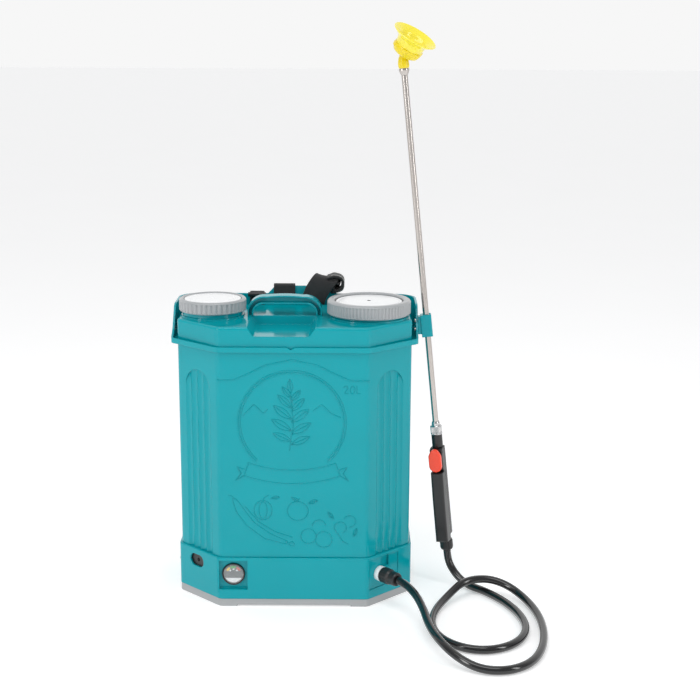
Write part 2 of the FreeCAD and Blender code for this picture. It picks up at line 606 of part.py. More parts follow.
def carry_handle():
    rise, grip = "handle_rise", "grip_rise"

    def arch(half, foot, top, lean):
        """Left foot to right foot over the top, as corners and arcs."""
        return [("handle_x - %s" % half, foot), ("handle_x - %s" % half, "%s - 20" % top,
                                                 ("handle_x - %s * 0.85" % half, "%s - 7.2" % top)),
                ("handle_x - %s * 0.5" % half, "%s - 1.6" % top, ("handle_x", "%s + %s" % (top, lean))),
                ("handle_x + %s * 0.5" % half, "%s - 1.6" % top,
                        ("handle_x + %s * 0.85" % half, "%s - 7.2" % top)),
                ("handle_x + %s" % half, "%s - 20" % top), ("handle_x + %s" % half, foot)]

    def low_arch(half, foot, top, corner):
        return [("handle_x + %s" % half, foot), ("handle_x + %s" % half, "%s - 13" % top,
                                                 ("handle_x + %s - %s * 0.3" % (half, corner),
                                                         "%s - 4.2" % top)),
                ("handle_x + %s - %s" % (half, corner), top), ("handle_x - %s + %s" % (half, corner), top,
                                                              ("handle_x - %s + %s * 0.3" % (half,
                                                                      corner),
                                                               "%s - 4.2" % top)),
                ("handle_x - %s" % half, "%s - 13" % top), ("handle_x - %s" % half, foot)]

    body = padded("handle_body", "XZ_Plane",
                  arch("handle_half", "shoulder_top", rise, 0) + low_arch("grip_half", "shoulder_top",
                          grip, 17),
                  "handle_front", "handle_deep")
    pocketed(body, "XZ_Plane",
             arch("(handle_half - 2.2)", "shoulder_top + 0.6", "(%s - 2.2)" % rise, 0)
             + low_arch("(grip_half + 2.2)", "shoulder_top + 0.6", "(%s + 2.2)" % grip, 17),
             "handle_front", "channel_deep")
    node("carry_handle", body)


def rim_frame():
    half, side, back = "rim_half", "-side_start + 1", "rim_back"
    outline = [("rim_front_half", "-rim_front"), (half, side), (half, back), ("-" + half, back),
               ("-" + half, side), ("-rim_front_half", "-rim_front")]
    body = padded("rim_outer", "XY_Plane", outline, "rim_low", "hump_top - rim_low")
    rounded(body, "front_round", lambda edge: upright(edge) and edge.BoundBox.YMin < 0)
    rounded(body, "rear_round", lambda edge: upright(edge) and edge.BoundBox.YMin > 50)
    seat = plan_block("rim_seat", "tank_inset - 0.3", "rim_low - 1", "tank_top + 1")
    wide = "(rim_half - wing_wall)"
    room_outline = [(wide, side), (wide, "rim_back - wing_wall"), ("-" + wide, "rim_back - wing_wall"),
                    ("-" + wide, side), ("-rim_front_half + 1.5", "-rim_front + 3.6"),
                    ("rim_front_half - 1.5", "-rim_front + 3.6")]
    room = padded("rim_room", "XY_Plane", room_outline, "lid_top - 3.6", "hump_top - lid_top + 8")
    rounded(room, "rear_round - wing_wall", lambda edge: upright(edge) and edge.BoundBox.YMin > 50)
    rounded(room, "front_round - wing_wall", lambda edge: upright(edge) and edge.BoundBox.YMin < 0)
    profile = [("-rim_front - 5", "lid_top"), ("-side_start - 2", "lid_top",
            ("-side_start + 15", "lid_top + 4.5")),
               ("-side_start + 27", "lid_top + 16"), ("wing_start - 12", "wing_top - 9",
                                                     ("wing_start - 6", "wing_top - 3")),
               ("wing_start + 3", "wing_top"), ("rim_back - 14", "wing_top"),
                       ("rim_back - 14", "hump_top + 5"),
               ("-rim_front - 5", "hump_top + 5")]
    sweep = padded("wing_sweep", "YZ_Plane", profile, "-rim_half - 5", "2 * rim_half + 10")
    left = padded("hump_side_left", "XZ_Plane", [
        ("-rim_half - 5", "wing_top"), ("hump_left - 5", "wing_top"), ("hump_left + 6", "hump_top - 1"),
        ("hump_left + 9", "hump_top + 5"), ("-rim_half - 5", "hump_top + 5")], 40, "rim_back")
    right = padded("hump_side_right", "XZ_Plane", [
        ("rim_half + 5", "wing_top"), ("hump_right + 5", "wing_top"), ("hump_right - 6", "hump_top - 1"),
        ("hump_right - 9", "hump_top + 5"), ("rim_half + 5", "hump_top + 5")], 40, "rim_back")
    notch = padded("rim_notch", "XZ_Plane", [(-11, "lid_top + 1"), (-3, "lid_top - 3.4"),
            (5, "lid_top + 1")],
                   "-rim_front - 3", 20)
    bolt = rod("bolt_hole", 3.2, 30, ("bolt_x", "rim_back - 15", "bolt_z"), (0, 1, 0))
    clip_holes = [rod("clip_hole_%d" % number, 1.7, 20, ("rim_half - 12", "lance_y", z), (1, 0, 0))
                  for number, z in enumerate((411, 425))]
    node("rim_frame", cut("rim_frame_cut", body, [seat, room, sweep, left, right, notch,
            bolt] + clip_holes))


def lance_clip():
    """A U-shaped clip with its mouth to +X, on a stalk that is riveted to the rim frame's wing."""
    bar = padded("clip_bar", "XY_Plane", [
        (-9, -7.8), (6.5, -7.8), (7.6, -6.2), (6.6, -4.95), (0, -4.95, (-4.95, 0)), (0, 4.95),
                (6.6, 4.95), (7.6, 6.2),
        (6.5, 7.8), (-9, 7.8)], 147, 34, clip_place)
    stalk = block("clip_stalk", ("rim_half + 0.1", "lance_y - 6.5", 405),
            ("rim_half + 9", "lance_y + 6.5", 432))
    opening = rod("clip_bore", 4.95, 60, (0, 0, 135), place=clip_place)
    rivets = [rod("clip_rivet_hole_%d" % number, 1.55, 4, ("rim_half - 1", "lance_y", z), (1, 0, 0))
              for number, z in enumerate((411, 425))]
    node("lance_clip", cut("lance_clip_cut", joined("clip_all", [bar, stalk]), [opening] + rivets))


def rim_fasteners():
    """Two clip rivets, and the bolt with its washer and nut that holds the strap plate."""
    parts = []
    for number, z in enumerate((411, 425)):
        shank = rod("rivet_shank_%d" % number, 1.5, 6, ("rim_half - 4", "lance_y", z), (1, 0, 0))
        head = rod("rivet_head_%d" % number, 2.9, 1.4, ("rim_half - wing_wall - 1.5", "lance_y", z),
                (1, 0, 0))
        parts.append(joined("rivet_%d" % number, [shank, head]))
    spot = Placement(Vector(size("bolt_x"), size("rim_back"), size("bolt_z")),
            Rotation(Vector(1, 0, 0), -90))
    parts.append(turned("strap_bolt_body", [
        (0, -13), (2.4, -13), (2.9, -12.4), (2.9, 0.2), (6, 0.2), (6, 2.6), (4.6, 3.8), (0, 4.2)], spot))
    parts.append(turned("bolt_washer_body", [(3.1, -4.8), (6.2, -4.8), (6.2, -3.5), (3.1, -3.5)], spot))
    hexagon = [(5 * math.cos(turn * math.pi / 3), 5 * math.sin(turn * math.pi / 3)) for turn in range(6)]
    nut = padded("bolt_nut_body", "XY_Plane", hexagon, -9.6, 4.6, spot)
    parts.append(cut("bolt_nut_cut", nut, [rod("bolt_nut_hole", 3, 20, (0, 0, -15), place=spot)]))
    node("rim_fasteners", grouped("rim_fastener_set", parts))


# ---- filler caps ----

def screw_cap(name, place, side_high, disc_radius, neck, outer, rib_count, rib_radius):
    """Ribbed ring, pressed-in disc and flat gasket; heights count from the cap's lower edge."""
    ring_gap = "(%s_neck + thread_gap)" % name
    under = "(neck_over + gasket_thick + %s)" % ("flange_thick" if name == "big" else "0")
    over = "(%s + 2.4)" % under
    shell = turned(name + "_cap_ring", [
        (ring_gap, 0), (outer + " - 1.2", 0), (outer, 1.6), (outer, side_high),
                (outer + " - 2.6", "%s + 3" % side_high),
        (disc_radius + " + 1.5", "%s + 3" % side_high), (disc_radius + " + 0.1", "%s + 1.6" % side_high),
        (disc_radius + " + 0.1", under), (ring_gap, under)], place)
    grooves = ribs(name + "_rib", rib_count, rib_radius, 2.6, size(side_high) - 0.6,
                   size(outer) + rib_radius * 0.55, place)
    node("%s_cap" % name, cut(name + "_cap_cut", shell, grooves))
    disc = turned(name + "_disc_body", [
        (3.1, under), (disc_radius, under), (disc_radius, over), (3.1, over)], place)
    vent = turned(name + "_vent_body", [
        (0, "%s - 0.4" % under), (2.9, "%s - 0.4" % under), (2.9, "%s + 0.4" % over),
                (0, "%s + 0.9" % over)], place)
    node("%s_cap_disc" % name, grouped(name + "_disc_set", [disc, vent]))
    node("%s_gasket" % name, turned(name + "_gasket_body", [
        (neck + " - 4.6", "%s - gasket_thick" % under), (neck + " - 0.2", "%s - gasket_thick" % under),
        (neck + " - 0.2", under), (neck + " - 4.6", under)], place))


def filler_caps():
    screw_cap("big", big_place, "18", "(big_radius - 11.6)", "big_neck", "big_radius", 72, 0.9)
    screw_cap("small", small_place, "15.6", "(small_radius - 7.4)", "small_neck", "small_radius", 40, 1.3)
    bore = "(big_neck - neck_wall)"
    basket = turned("basket_body", [
        (0, -60), (bore + " - 6", -60), (bore + " - 0.7", "neck_over - 6"),
                (bore + " - 0.7", "neck_over"),
        ("big_neck - 0.6", "neck_over"), ("big_neck - 0.6", "neck_over + flange_thick"),
        (bore + " - 2.4", "neck_over + flange_thick"), (bore + " - 7.8", -58.2), (0, -58.2)], big_place)
    windows = []
    for number in range(12):
        turn = Placement(Vector(0, 0, 0), Rotation(Vector(0, 0, 1), 30 * number))
        windows.append(block("basket_window_%d" % number, (30, -7.5, -50), (60, 7.5, -4),
                             place=big_place.multiply(turn)))
    frame = cut("basket_frame", basket, windows)
    mesh = turned("basket_mesh_body", [
        (bore + " - 9.6", -56), (bore + " - 9", -56), (bore + " - 4.4", 0), (bore + " - 5", 0)],
                big_place)
    node("filler_basket", grouped("basket_set", [frame, mesh]))


# ---- wand: spray gun, lance and nozzle, in the wand's own frame (Z up the lance, -Y the trigger side) ----

def spray_valve():
    gap = "lance_radius + fit_gap"
    body = turned("valve_body_turn", [
        (3, -75), (7.5, -75), (7.5, -30), (8.4, -29.6), (8.4, -10.3), (7, -10.3), (7, 1), (gap, 1),
                (gap, -8.2),
        (3, -8.2)], wand_place)
    through = rod("stem_hole", 2.1, 10, (0, -12, "stem_z"), (0, 1, 0), wand_place)
    chamber = rod("stem_chamber", 3.5, 9.6, (0, -3.3, "stem_z"), (0, 1, 0), wand_place)
    node("valve_body", cut("valve_body_cut", body, [through, chamber]))
    stem_rod = rod("stem_rod", 2, 8.4, (0, -10.5, "stem_z"), (0, 1, 0), wand_place)
    stem_head = rod("stem_head", 3.2, 1.6, (0, -3.1, "stem_z"), (0, 1, 0), wand_place)
    node("valve_stem", joined("valve_stem_all", [stem_rod, stem_head]))
    coil = rod("spring_outer", 2.9, 7.4, (0, -1.3, "stem_z"), (0, 1, 0), wand_place)
    core = rod("spring_core", 2.2, 12, (0, -3, "stem_z"), (0, 1, 0), wand_place)
    node("valve_spring", cut("valve_spring_cut", coil, [core]))
    node("grip_pipe", turned("grip_pipe_body", [
        (3, -190), (7, -190), (7, -183), ("pipe_radius", -183), ("pipe_radius", -75.3), (3, -75.3)],
                wand_place))


def spray_grip():
    half = "grip_half_width"
    front = padded("grip_front_body", "YZ_Plane", [
        ("seam_y - 0.2", "grip_low"), (-23, "grip_low"), (-24, "grip_low + 2"), (-23, -110), (-20.5, -70),
        (-19, -68), ("seam_y - 0.2", -68)], "-" + half, "2 * " + half, wand_place)
    rounded(front, 4, lambda edge: edge.BoundBox.ZLength > 20 and edge.BoundBox.YMax < -15)
    rear = padded("grip_rear_body", "YZ_Plane", [
        ("seam_y", -173), (7.5, -173), (9.6, -170), (9.6, -40), (8.8, -30.2), (-8, -30.2), (-13, -32.5),
        (-13, -62), (-9, -67.6), ("seam_y", -67.6)], "-" + half, "2 * " + half, wand_place)
    rounded(rear, 4.5, lambda edge: edge.BoundBox.ZLength > 100 and edge.BoundBox.YMin > 9)
    bore = rod("grip_bore", 7.8, 48, (0, 0, -76), place=wand_place)
    throat = rod("grip_throat", "pipe_radius + 0.3", 160, (0, 0, -190), place=wand_place)
    slot = block("lever_slot", (-4, -14, -66), (4, 0, -30), place=wand_place)
    pin_hole = rod("pin_hole", "pin_radius + 0.02", 30, (-15, "pivot_y", "pivot_z"), (1, 0, 0),
            wand_place)
    screws, front_holes, rear_holes = [], [], []
    for number, (x, z) in enumerate([(-7.2, -92), (7.2, -92), (-7.2, -160), (7.2, -160)]):
        screws.append(joined("grip_screw_%d" % number, [
            rod("grip_shank_%d" % number, 1.1, 14, (x, -8, z), (0, 1, 0), wand_place),
            rod("grip_head_%d" % number, 1.9, 1.6, (x, 4.6, z), (0, 1, 0), wand_place)]))
        front_holes.append(rod("front_hole_%d" % number, 1.2, 8, (x, -9, z), (0, 1, 0), wand_place))
        rear_holes.append(rod("rear_hole_%d" % number, 1.2, 18, (x, -6, z), (0, 1, 0), wand_place))
        rear_holes.append(rod("rear_sink_%d" % number, 2.1, 12, (x, 4.4, z), (0, 1, 0), wand_place))
    node("grip_front", cut("grip_front_cut", front, [bore, throat] + front_holes))
    node("grip_rear", cut("grip_rear_cut", rear, [bore, throat, slot, pin_hole] + rear_holes))
    node("grip_screws", grouped("grip_screw_set", screws))


def spray_trigger():
    oval = padded("paddle_oval", "XZ_Plane", [
        (-10, -55.5, (0, -65.5)), (10, -55.5), (10, -40, (6.6, -33.2)), (4.2, -30.2, (0, -28.8)),
        (-4.2, -30.2, (-6.6, -33.2)), (-10, -40)], -22.5, 5, wand_place)
    rounded(oval, 1.6, lambda edge: edge.BoundBox.YMax < -22.4)
    arm = padded("paddle_arm", "YZ_Plane", [
        (-18, -32.5), (-9, -32.5), (-8.2, -36), (-9, -39.5), (-10.8, -42), (-10.8, -60), (-18, -60)],
        -3.5, 7, wand_place)
    hole = rod("paddle_hole", "pin_radius + 0.06", 30, (-15, "pivot_y", "pivot_z"), (1, 0, 0), wand_place)
    node("trigger", cut("trigger_cut", joined("trigger_all", [oval, arm]), [hole]))
    node("trigger_pin", rod("trigger_pin_rod", "pin_radius", 18, (-9, "pivot_y", "pivot_z"), (1, 0, 0),
            wand_place))


def lance():
    gap = "lance_radius + fit_gap"
    pipe = turned("lance_tube_body", [
        ("lance_radius - lance_wall", -8), ("lance_radius", -8), ("lance_radius", "lance_length"),
        ("lance_radius - lance_wall", "lance_length")], wand_place)
    flare = turned("lance_flare_body", [
        (gap, 540), (5.5, 540), (7.7, 546.5), (7.7, 549.4), (gap, 549.4)], wand_place)
    node("lance_tube", grouped("lance_set", [pipe, flare]))
    sleeve = turned("lance_sleeve_body", [
        (gap, 4.9), (6.4, 4.9), (6.4, 8.6), (5.3, 11.4), (gap, 11.4)], wand_place)
    nut = turned("lance_nut_body", [
        (gap, 4.7), (8, 4.7), (9, 3.7), (9, -8.9), (8.2, -10), (7.2, -10), (7.2, 1.3), (gap, 1.3)],
                wand_place)
    knurled = cut("lance_nut_cut", nut, ribs("knurl", 28, 0.5, -9, 4, 9.15, wand_place))
    node("lance_nut", grouped("lance_nut_set", [knurled, sleeve]))
    hose_nut = turned("gun_nut_body", [
        (6.3, -199), (9.2, -199), (10.2, -196), (10.2, -185.5), (9.6, -183.2), (7.2, -183.2),
                (7.2, -190.2),
        (6.3, -190.2)], wand_place)
    ribbed = cut("gun_nut_cut", hose_nut, ribs("gun_rib", 12, 1, -197, -184, 10.7, wand_place))
    tail = turned("hose_tail_body", [(3.6, -203), (6, -203), (6, -190.4), (3.6, -190.4)], wand_place)
    node("gun_hose_nut", grouped("gun_nut_set", [ribbed, tail]))


def nozzle():
    socket = turned("elbow_socket", [
        (2.2, 549.8), (7.3, 549.8), (8, 553), (7.7, 560), (6.4, 566), (3, 569.5), (2.2, 569.5)],
                wand_place)
    stub = rod("elbow_stub", 5.6, 7, (0, 0, -1), place=bell_place)
    bore = rod("elbow_bore", 2.2, 12, (0, 0, -3), place=bell_place)
    node("nozzle_elbow", cut("nozzle_elbow_cut", joined("elbow_all", [socket, stub]), [bore]))
    node("nozzle_core", turned("nozzle_core_body", [
        (2.2, 6.2), (9, 6.2), (9, 20.6), (4, 20.6), (3, 22), (1.2, 22), (1.2, 16), (2.2, 14)],
                bell_place))
    node("bell_seal", turned("bell_seal_body", [
        (9.15, 9), (10.4, 9), (10.4, 10.6), (9.15, 10.6)], bell_place))
    skirt = turned("skirt_body", [
        (9.4, 4.6), (16.6, 4.6), (19.4, 6.6), (21.6, 12), (22, 17.4), (20, 18.4), (18.4, 17), (17.4, 10),
                (15.4, 7.2),
        (9.4, 7.2)], bell_place)
    lugs = []
    for number in range(6):
        turn = Placement(Vector(0, 0, 0), Rotation(Vector(0, 0, 1), 60 * number + 12))
        lugs.append(block("skirt_lug_%d" % number, (20.4, -3, 12.6), (23.6, 3, 16.6),
                place=bell_place.multiply(turn)))
    node("bell_skirt", joined("bell_skirt_all", [skirt] + lugs))
    node("bell", turned("bell_body", [
        (9.4, 18.6), (19.2, 18.6, (23.6, 28.2)), (34, 36.2), (33.3, 37.2, (22, 28.6)), (15.5, 22.4),
                (9.4, 21.4)],
        bell_place))


# ---- hose ----

HOSE_ROUTE = [
    (182, -150, 42.5), (192, -186, 35), (198, -232, 28), (211, -272, 23.5), (233, -303, 14),
            (264, -325, 6.5),
    (303, -327, 6.3), (337, -302, 6.3), (358, -256, 6.3), (368, -198, 6.3), (367, -136, 6.3),
            (353, -83, 8.5),
    (328, -56, 19), (296, -47, 25.5), (260, -57, 23.5), (235, -86, 12), (213, -126, 6.3),
            (204, -178, 6.3),
    (214, -224, 6.3), (241, -255, 6.3), (275, -265, 6.3), (308, -253, 6.3), (332, -226, 6.3),
            (344, -187, 6.3),
    (340, -143, 6.3), (326, -102, 6.3), (308, -71, 6.3), (290, -48, 6.3), (271.7, -31.9, 6.3),
    (256.5, -17.3, 14), (245.8, -7, 26.5)]


def hose():
    start = outlet_place.multVec(Vector(0, 0, 30))
    lead = outlet_place.multVec(Vector(0, 0, 50))
    gun_end = wand_place.multVec(Vector(0, 0, -203))
    gun_lead = wand_place.multVec(Vector(0, 0, -217))
    points = [tuple(start), tuple(lead)] + HOSE_ROUTE + [tuple(gun_lead), tuple(gun_end)]
    print("hose points", [[round(value, 1) for value in point] for point in points])
    node("spray_hose", bent_tube("hose_tube", points, size("hose_radius")))


# ---- harness ----

def shoulder_straps():
    back = "rim_back"
    straps, webbings = [], []
    for name, low, wide in (("left", -40, 37), ("right", 6, 34)):
        over = padded("strap_%s_body" % name, "YZ_Plane", [
            (back + " - 6.4", "wing_top - 4"), (back + " - 6.4", "hump_top + 3"),
                    (back + " + 2", "hump_top + 4"),
            (back + " + 14", "wing_top - 6"), (back + " + 15", 210), (back + " + 5", 210),
                    (back + " + 4.8", "wing_top - 8"),
            (back + " + 0.8", "hump_top + 0.8"), (back + " - 4", "hump_top + 0.8"),
                    (back + " - 4", "wing_top - 4")],
            low, wide)
        straps.append(over)
    loop = padded("strap_loop_body", "XZ_Plane", [
        (6, "hump_top + 4.6"), (17, 471, (22, 477)), (30, 480), (66, 476, (75, 470)),
                (75, 458, (72, 452)),
        (64, 449.6), (53, 449.6), (53, "hump_top + 4.6")], "rim_back - 16", 34)
    node("shoulder_strap_left", straps[0])
    node("shoulder_strap_right", grouped("strap_right_set", [straps[1], loop]))
    tail = padded("strap_tail_body", "YZ_Plane", [
        (back + " - 6.6", 420), (back + " - 6.6", 449), (back + " + 3", 449), (back + " + 3", 300),
        (back + " + 0.4", 300), (back + " + 0.4", "wing_top + 0.4"), (back + " - 3.8", "wing_top + 0.4"),
        (back + " - 3.8", 420)], -77, 24)
    node("strap_tail", tail)
    node("strap_roller", rod("strap_roller_rod", 3.6, 28, (-79, "rim_back - 10.6", 446.5), (1, 0, 0)))
    for side, name in ((-1, "left"), (1, "right")):
        middle = 47 * side
        webbing = block("webbing_%s_block" % name, (middle - 14, back + " + 7.4", 52),
                (middle + 14, back + " + 9.8", 209.6))
        outer = rod("webbing_%s_eye" % name, 5.4, 28, (middle - 14, "base_front + 7", 42), (1, 0, 0))
        riser = block("webbing_%s_riser" % name, (middle - 14, "base_front + 7", 42),
                (middle + 14, back + " + 9.8", 60))
        hole = rod("webbing_%s_hole" % name, 2.3, 40, (middle - 20, "base_front + 7", 42), (1, 0, 0))
        whole = joined("webbing_%s_all" % name, [webbing, outer, riser])
        webbings.append(cut("webbing_%s_cut" % name, whole, [hole]))
        frame = block("slider_%s_block" % name, (middle - 20, back + " + 5", 128),
                (middle + 20, back + " + 12.2", 158))
        window = block("slider_%s_window" % name, (middle - 14.6, back + " + 6.9", 120),
                       (middle + 14.6, back + " + 10.3", 170))
        views = [block("slider_%s_view_%d" % (name, number), (middle - 14.6, back + " + 8", low),
                       (middle + 14.6, back + " + 14", low + 8)) for number, low in enumerate((132, 146))]
        node("slider_" + name, cut("slider_%s_cut" % name, frame, [window] + views))
    node("lower_webbing", grouped("lower_webbing_set", webbings))


def write_parts():
    doc.recompute()
    failed = [thing.Label for thing in doc.Objects if "Invalid" in thing.State or "Error" in thing.State]
    failed += [thing.Label for thing in nodes if thing.Shape.isNull() or not thing.Shape.isValid()]
    if failed:
        raise RuntimeError("failed: " + ", ".join(failed))
    os.makedirs("parts", exist_ok=True)
    for thing in nodes:
        thing.Shape.exportStep("parts/%s.step" % thing.Label)
        print("%-20s %d solid(s) %9.0f mm3" % (thing.Label, len(thing.Shape.Solids), thing.Shape.Volume))


for build in (base_plate, base_screws, base_housing, strap_bars, battery_gauge, power_switch,
        charging_socket,
              battery_pack, pump, base_plumbing, outlet_fitting, tank_shell, tank_lid, carry_handle,
                      rim_frame,
              lance_clip, rim_fasteners, filler_caps, spray_valve, spray_grip, spray_trigger, lance,
                      nozzle, hose,
              shoulder_straps):
    build()
write_parts()
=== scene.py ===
# Backpack sprayer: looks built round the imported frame.
# Metres, +Z up, -Y out of the front, +X to the wearer's left.
import math

import bmesh
import bpy
from mathutils import Matrix, Vector


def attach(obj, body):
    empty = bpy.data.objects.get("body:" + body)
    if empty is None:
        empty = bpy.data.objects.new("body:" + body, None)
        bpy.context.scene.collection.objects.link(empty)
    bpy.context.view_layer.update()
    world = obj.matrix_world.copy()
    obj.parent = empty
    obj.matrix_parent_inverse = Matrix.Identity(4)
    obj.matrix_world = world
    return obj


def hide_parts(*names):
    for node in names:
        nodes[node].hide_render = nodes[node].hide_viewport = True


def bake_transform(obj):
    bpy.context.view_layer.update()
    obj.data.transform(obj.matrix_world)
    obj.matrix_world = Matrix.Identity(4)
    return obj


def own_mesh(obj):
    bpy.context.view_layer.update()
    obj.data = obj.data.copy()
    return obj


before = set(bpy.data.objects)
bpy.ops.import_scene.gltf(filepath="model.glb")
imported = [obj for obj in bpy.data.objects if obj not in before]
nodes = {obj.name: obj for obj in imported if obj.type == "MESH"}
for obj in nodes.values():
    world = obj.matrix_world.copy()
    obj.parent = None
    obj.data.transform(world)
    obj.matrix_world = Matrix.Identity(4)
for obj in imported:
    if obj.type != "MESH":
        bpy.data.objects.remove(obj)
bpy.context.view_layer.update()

scene = bpy.context.scene
mm = 0.001


# frames of the sub-assemblies, in millimetres and degrees as the design has them

def placeAt(origin, along=(0, 0, 1)):
    z = Vector(along).normalized()
    x = Vector((1, 0, 0))
    x = (x - z * x.dot(z)).normalized()
    turn = Matrix((x, z.cross(x), z)).transposed().to_4x4()
    return Matrix.Translation(Vector(origin) * mm) @ turn


def turned(degrees, axis):
    return Matrix.Rotation(math.radians(degrees), 4, axis)


wand = {"foot": (217.7, -2, 255), "lean": -6.03, "roll": -20,
        "bellHeight": 566, "bellAim": (0.47, -0.31, 0.83)}

plain = Matrix.Identity(4)
wandPlace = placeAt(wand["foot"]) @ turned(wand["lean"], "Y") @ turned(wand["roll"], "Z")
bellOrigin = (wandPlace @ Vector((0, 0, wand["bellHeight"] * mm))) / mm
bellPlace = placeAt(bellOrigin, wand["bellAim"])
bigPlace = placeAt((111.7, -10.2, 438.6))
smallPlace = placeAt((-125.3, -6.2, 441.8))
gaugePlace = placeAt((-91.7, -95, 50), (0, -1, 0))


# mesh tools: outlines, profiles and paths are in millimetres

cornerShare = 0.49      # most of a side that a rounded corner may use
straightHalf = 1.55     # half angle, in radians, from which a corner counts as straight


def newPiece(name, verts, faces, place, body, finish, sharp):
    mesh = bpy.data.meshes.new(name)
    mesh.from_pydata([place @ (Vector(v) * mm) for v in verts], [], faces)
    tidyMesh(mesh, sharp)
    return adopt(name, mesh, body, finish)


def tidyMesh(mesh, sharp=32):
    work = bmesh.new()
    work.from_mesh(mesh)
    bmesh.ops.remove_doubles(work, verts=work.verts, dist=1e-6)
    bmesh.ops.dissolve_degenerate(work, edges=work.edges, dist=1e-7)
    bmesh.ops.recalc_face_normals(work, faces=work.faces)
    work.to_mesh(mesh)
    work.free()
    mesh.shade_smooth()
    mesh.set_sharp_from_angle(angle=math.radians(sharp))


def adopt(name, mesh, body, finish):
    piece = bpy.data.objects.new(name, mesh)
    scene.collection.objects.link(piece)
    if finish:
        mesh.materials.append(finish)
    if body:
        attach(piece, body)
    return piece


def softOutline(corners, steps, closed=True):
    # corners are (a, b) or (a, b, radius); each radius becomes an arc of so many steps
    outline = []
    count = len(corners)
    for index, corner in enumerate(corners):
        here = Vector(corner[:2])
        radius = corner[2] if len(corner) > 2 else 0
        if radius <= 0 or (not closed and index in (0, count - 1)):
            outline.append(here)
            continue
        back = Vector(corners[index - 1][:2]) - here
        ahead = Vector(corners[(index + 1) % count][:2]) - here
        limit = cornerShare * min(back.length, ahead.length)
        back.normalize()
        ahead.normalize()
        half = math.acos(max(-1, min(1, back.dot(ahead)))) / 2
        if half > straightHalf:
            outline.append(here)
            continue
        reach = min(radius / math.tan(half), limit)
        middle = here + (back + ahead).normalized() * (reach / math.cos(half))
        spoke = here + back * reach - middle
        last = here + ahead * reach - middle
        sweep = math.atan2(spoke.x * last.y - spoke.y * last.x, spoke.dot(last))
        for step in range(steps + 1):
            outline.append(middle + Matrix.Rotation(sweep * step / steps, 2) @ spoke)
    return outline


def lathe(name, profile, place, body, finish, around, ripple=None, sharp=32):
    # the closed profile's points are (radius, height); ripple adds to the radius
    loop = softOutline(profile, 4)
    verts, faces = [], []
    for turn in range(around):
        angle = 2 * math.pi * turn / around
        for radius, height in loop:
            reach = radius + (ripple(angle, radius, height) if ripple else 0)
            verts.append((reach * math.cos(angle), reach * math.sin(angle), height))
    size = len(loop)
    for turn in range(around):
        first, second = turn * size, (turn + 1) % around * size
        for spot in range(size):
            after = (spot + 1) % size
            faces.append((first + spot, second + spot, second + after, first + after))
    return newPiece(name, verts, faces, place, body, finish, sharp)


def meshOf(curve):
    holder = bpy.data.objects.new(curve.name + "Holder", curve)
    scene.collection.objects.link(holder)
    bpy.context.view_layer.update()
    shown = holder.evaluated_get(bpy.context.evaluated_depsgraph_get())
    mesh = bpy.data.meshes.new_from_object(shown)
    bpy.data.objects.remove(holder)
    return mesh


def plate(name, outline, low, high, place, body, finish, edge, rounds):
    curve = bpy.data.curves.new(name, "CURVE")
    curve.dimensions = "2D"
    curve.fill_mode = "BOTH"
    spline = curve.splines.new("POLY")
    spline.points.add(len(outline) - 1)
    for point, spot in zip(spline.points, outline):
        point.co = (spot[0] * mm, spot[1] * mm, 0, 1)
    spline.use_cyclic_u = True
    curve.extrude = ((high - low) / 2 - edge) * mm
    curve.bevel_depth = edge * mm
    curve.bevel_resolution = rounds
    curve.offset = -edge * mm
    mesh = meshOf(curve)
    mesh.transform(place @ Matrix.Translation((0, 0, (low + high) / 2 * mm)))
    mesh.materials.clear()
    tidyMesh(mesh)
    return adopt(name, mesh, body, finish)


def tubeFaces(rings, around, base=0, capped=True):
    faces = []
    for ring in range(rings - 1):
        first, second = base + ring * around, base + (ring + 1) * around
        for turn in range(around):
            after = (turn + 1) % around
            faces.append((first + turn, first + after, second + after, second + turn))
    if capped:
        end = base + (rings - 1) * around
        faces.append(tuple(range(base, base + around))[::-1])
        faces.append(tuple(range(end, end + around)))
    return faces


def pipe(name, path, radius, body, finish, around, place=plain):
    points = [Vector(p) for p in path]
    last = len(points) - 1
    side = None
    verts = []
    for index, point in enumerate(points):
        ahead = (points[min(index + 1, last)] - points[max(index - 1, 0)]).normalized()
        if side is None:
            side = ahead.orthogonal().normalized()
        side = (side - ahead * side.dot(ahead)).normalized()
        up = ahead.cross(side)
        for turn in range(around):
            angle = 2 * math.pi * turn / around
            verts.append(point + (side * math.cos(angle) + up * math.sin(angle)) * radius)
    return newPiece(name, verts, tubeFaces(len(points), around), place, body, finish, 50)


# shader tools

class Wire:
    # a socket that adds Math nodes when it is used in an expression

    def __init__(self, board, socket):
        self.board = board
        self.socket = socket

    def maths(self, operation, *values):
        return self.board.add("Math", {"operation": operation}, *values)

    def __add__(self, other): return self.maths("ADD", self, other)
    def __radd__(self, other): return self.maths("ADD", other, self)
    def __mul__(self, other): return self.maths("MULTIPLY", self, other)
    def __rmul__(self, other): return self.maths("MULTIPLY", other, self)
    def wave(self): return self.maths("SINE", self)


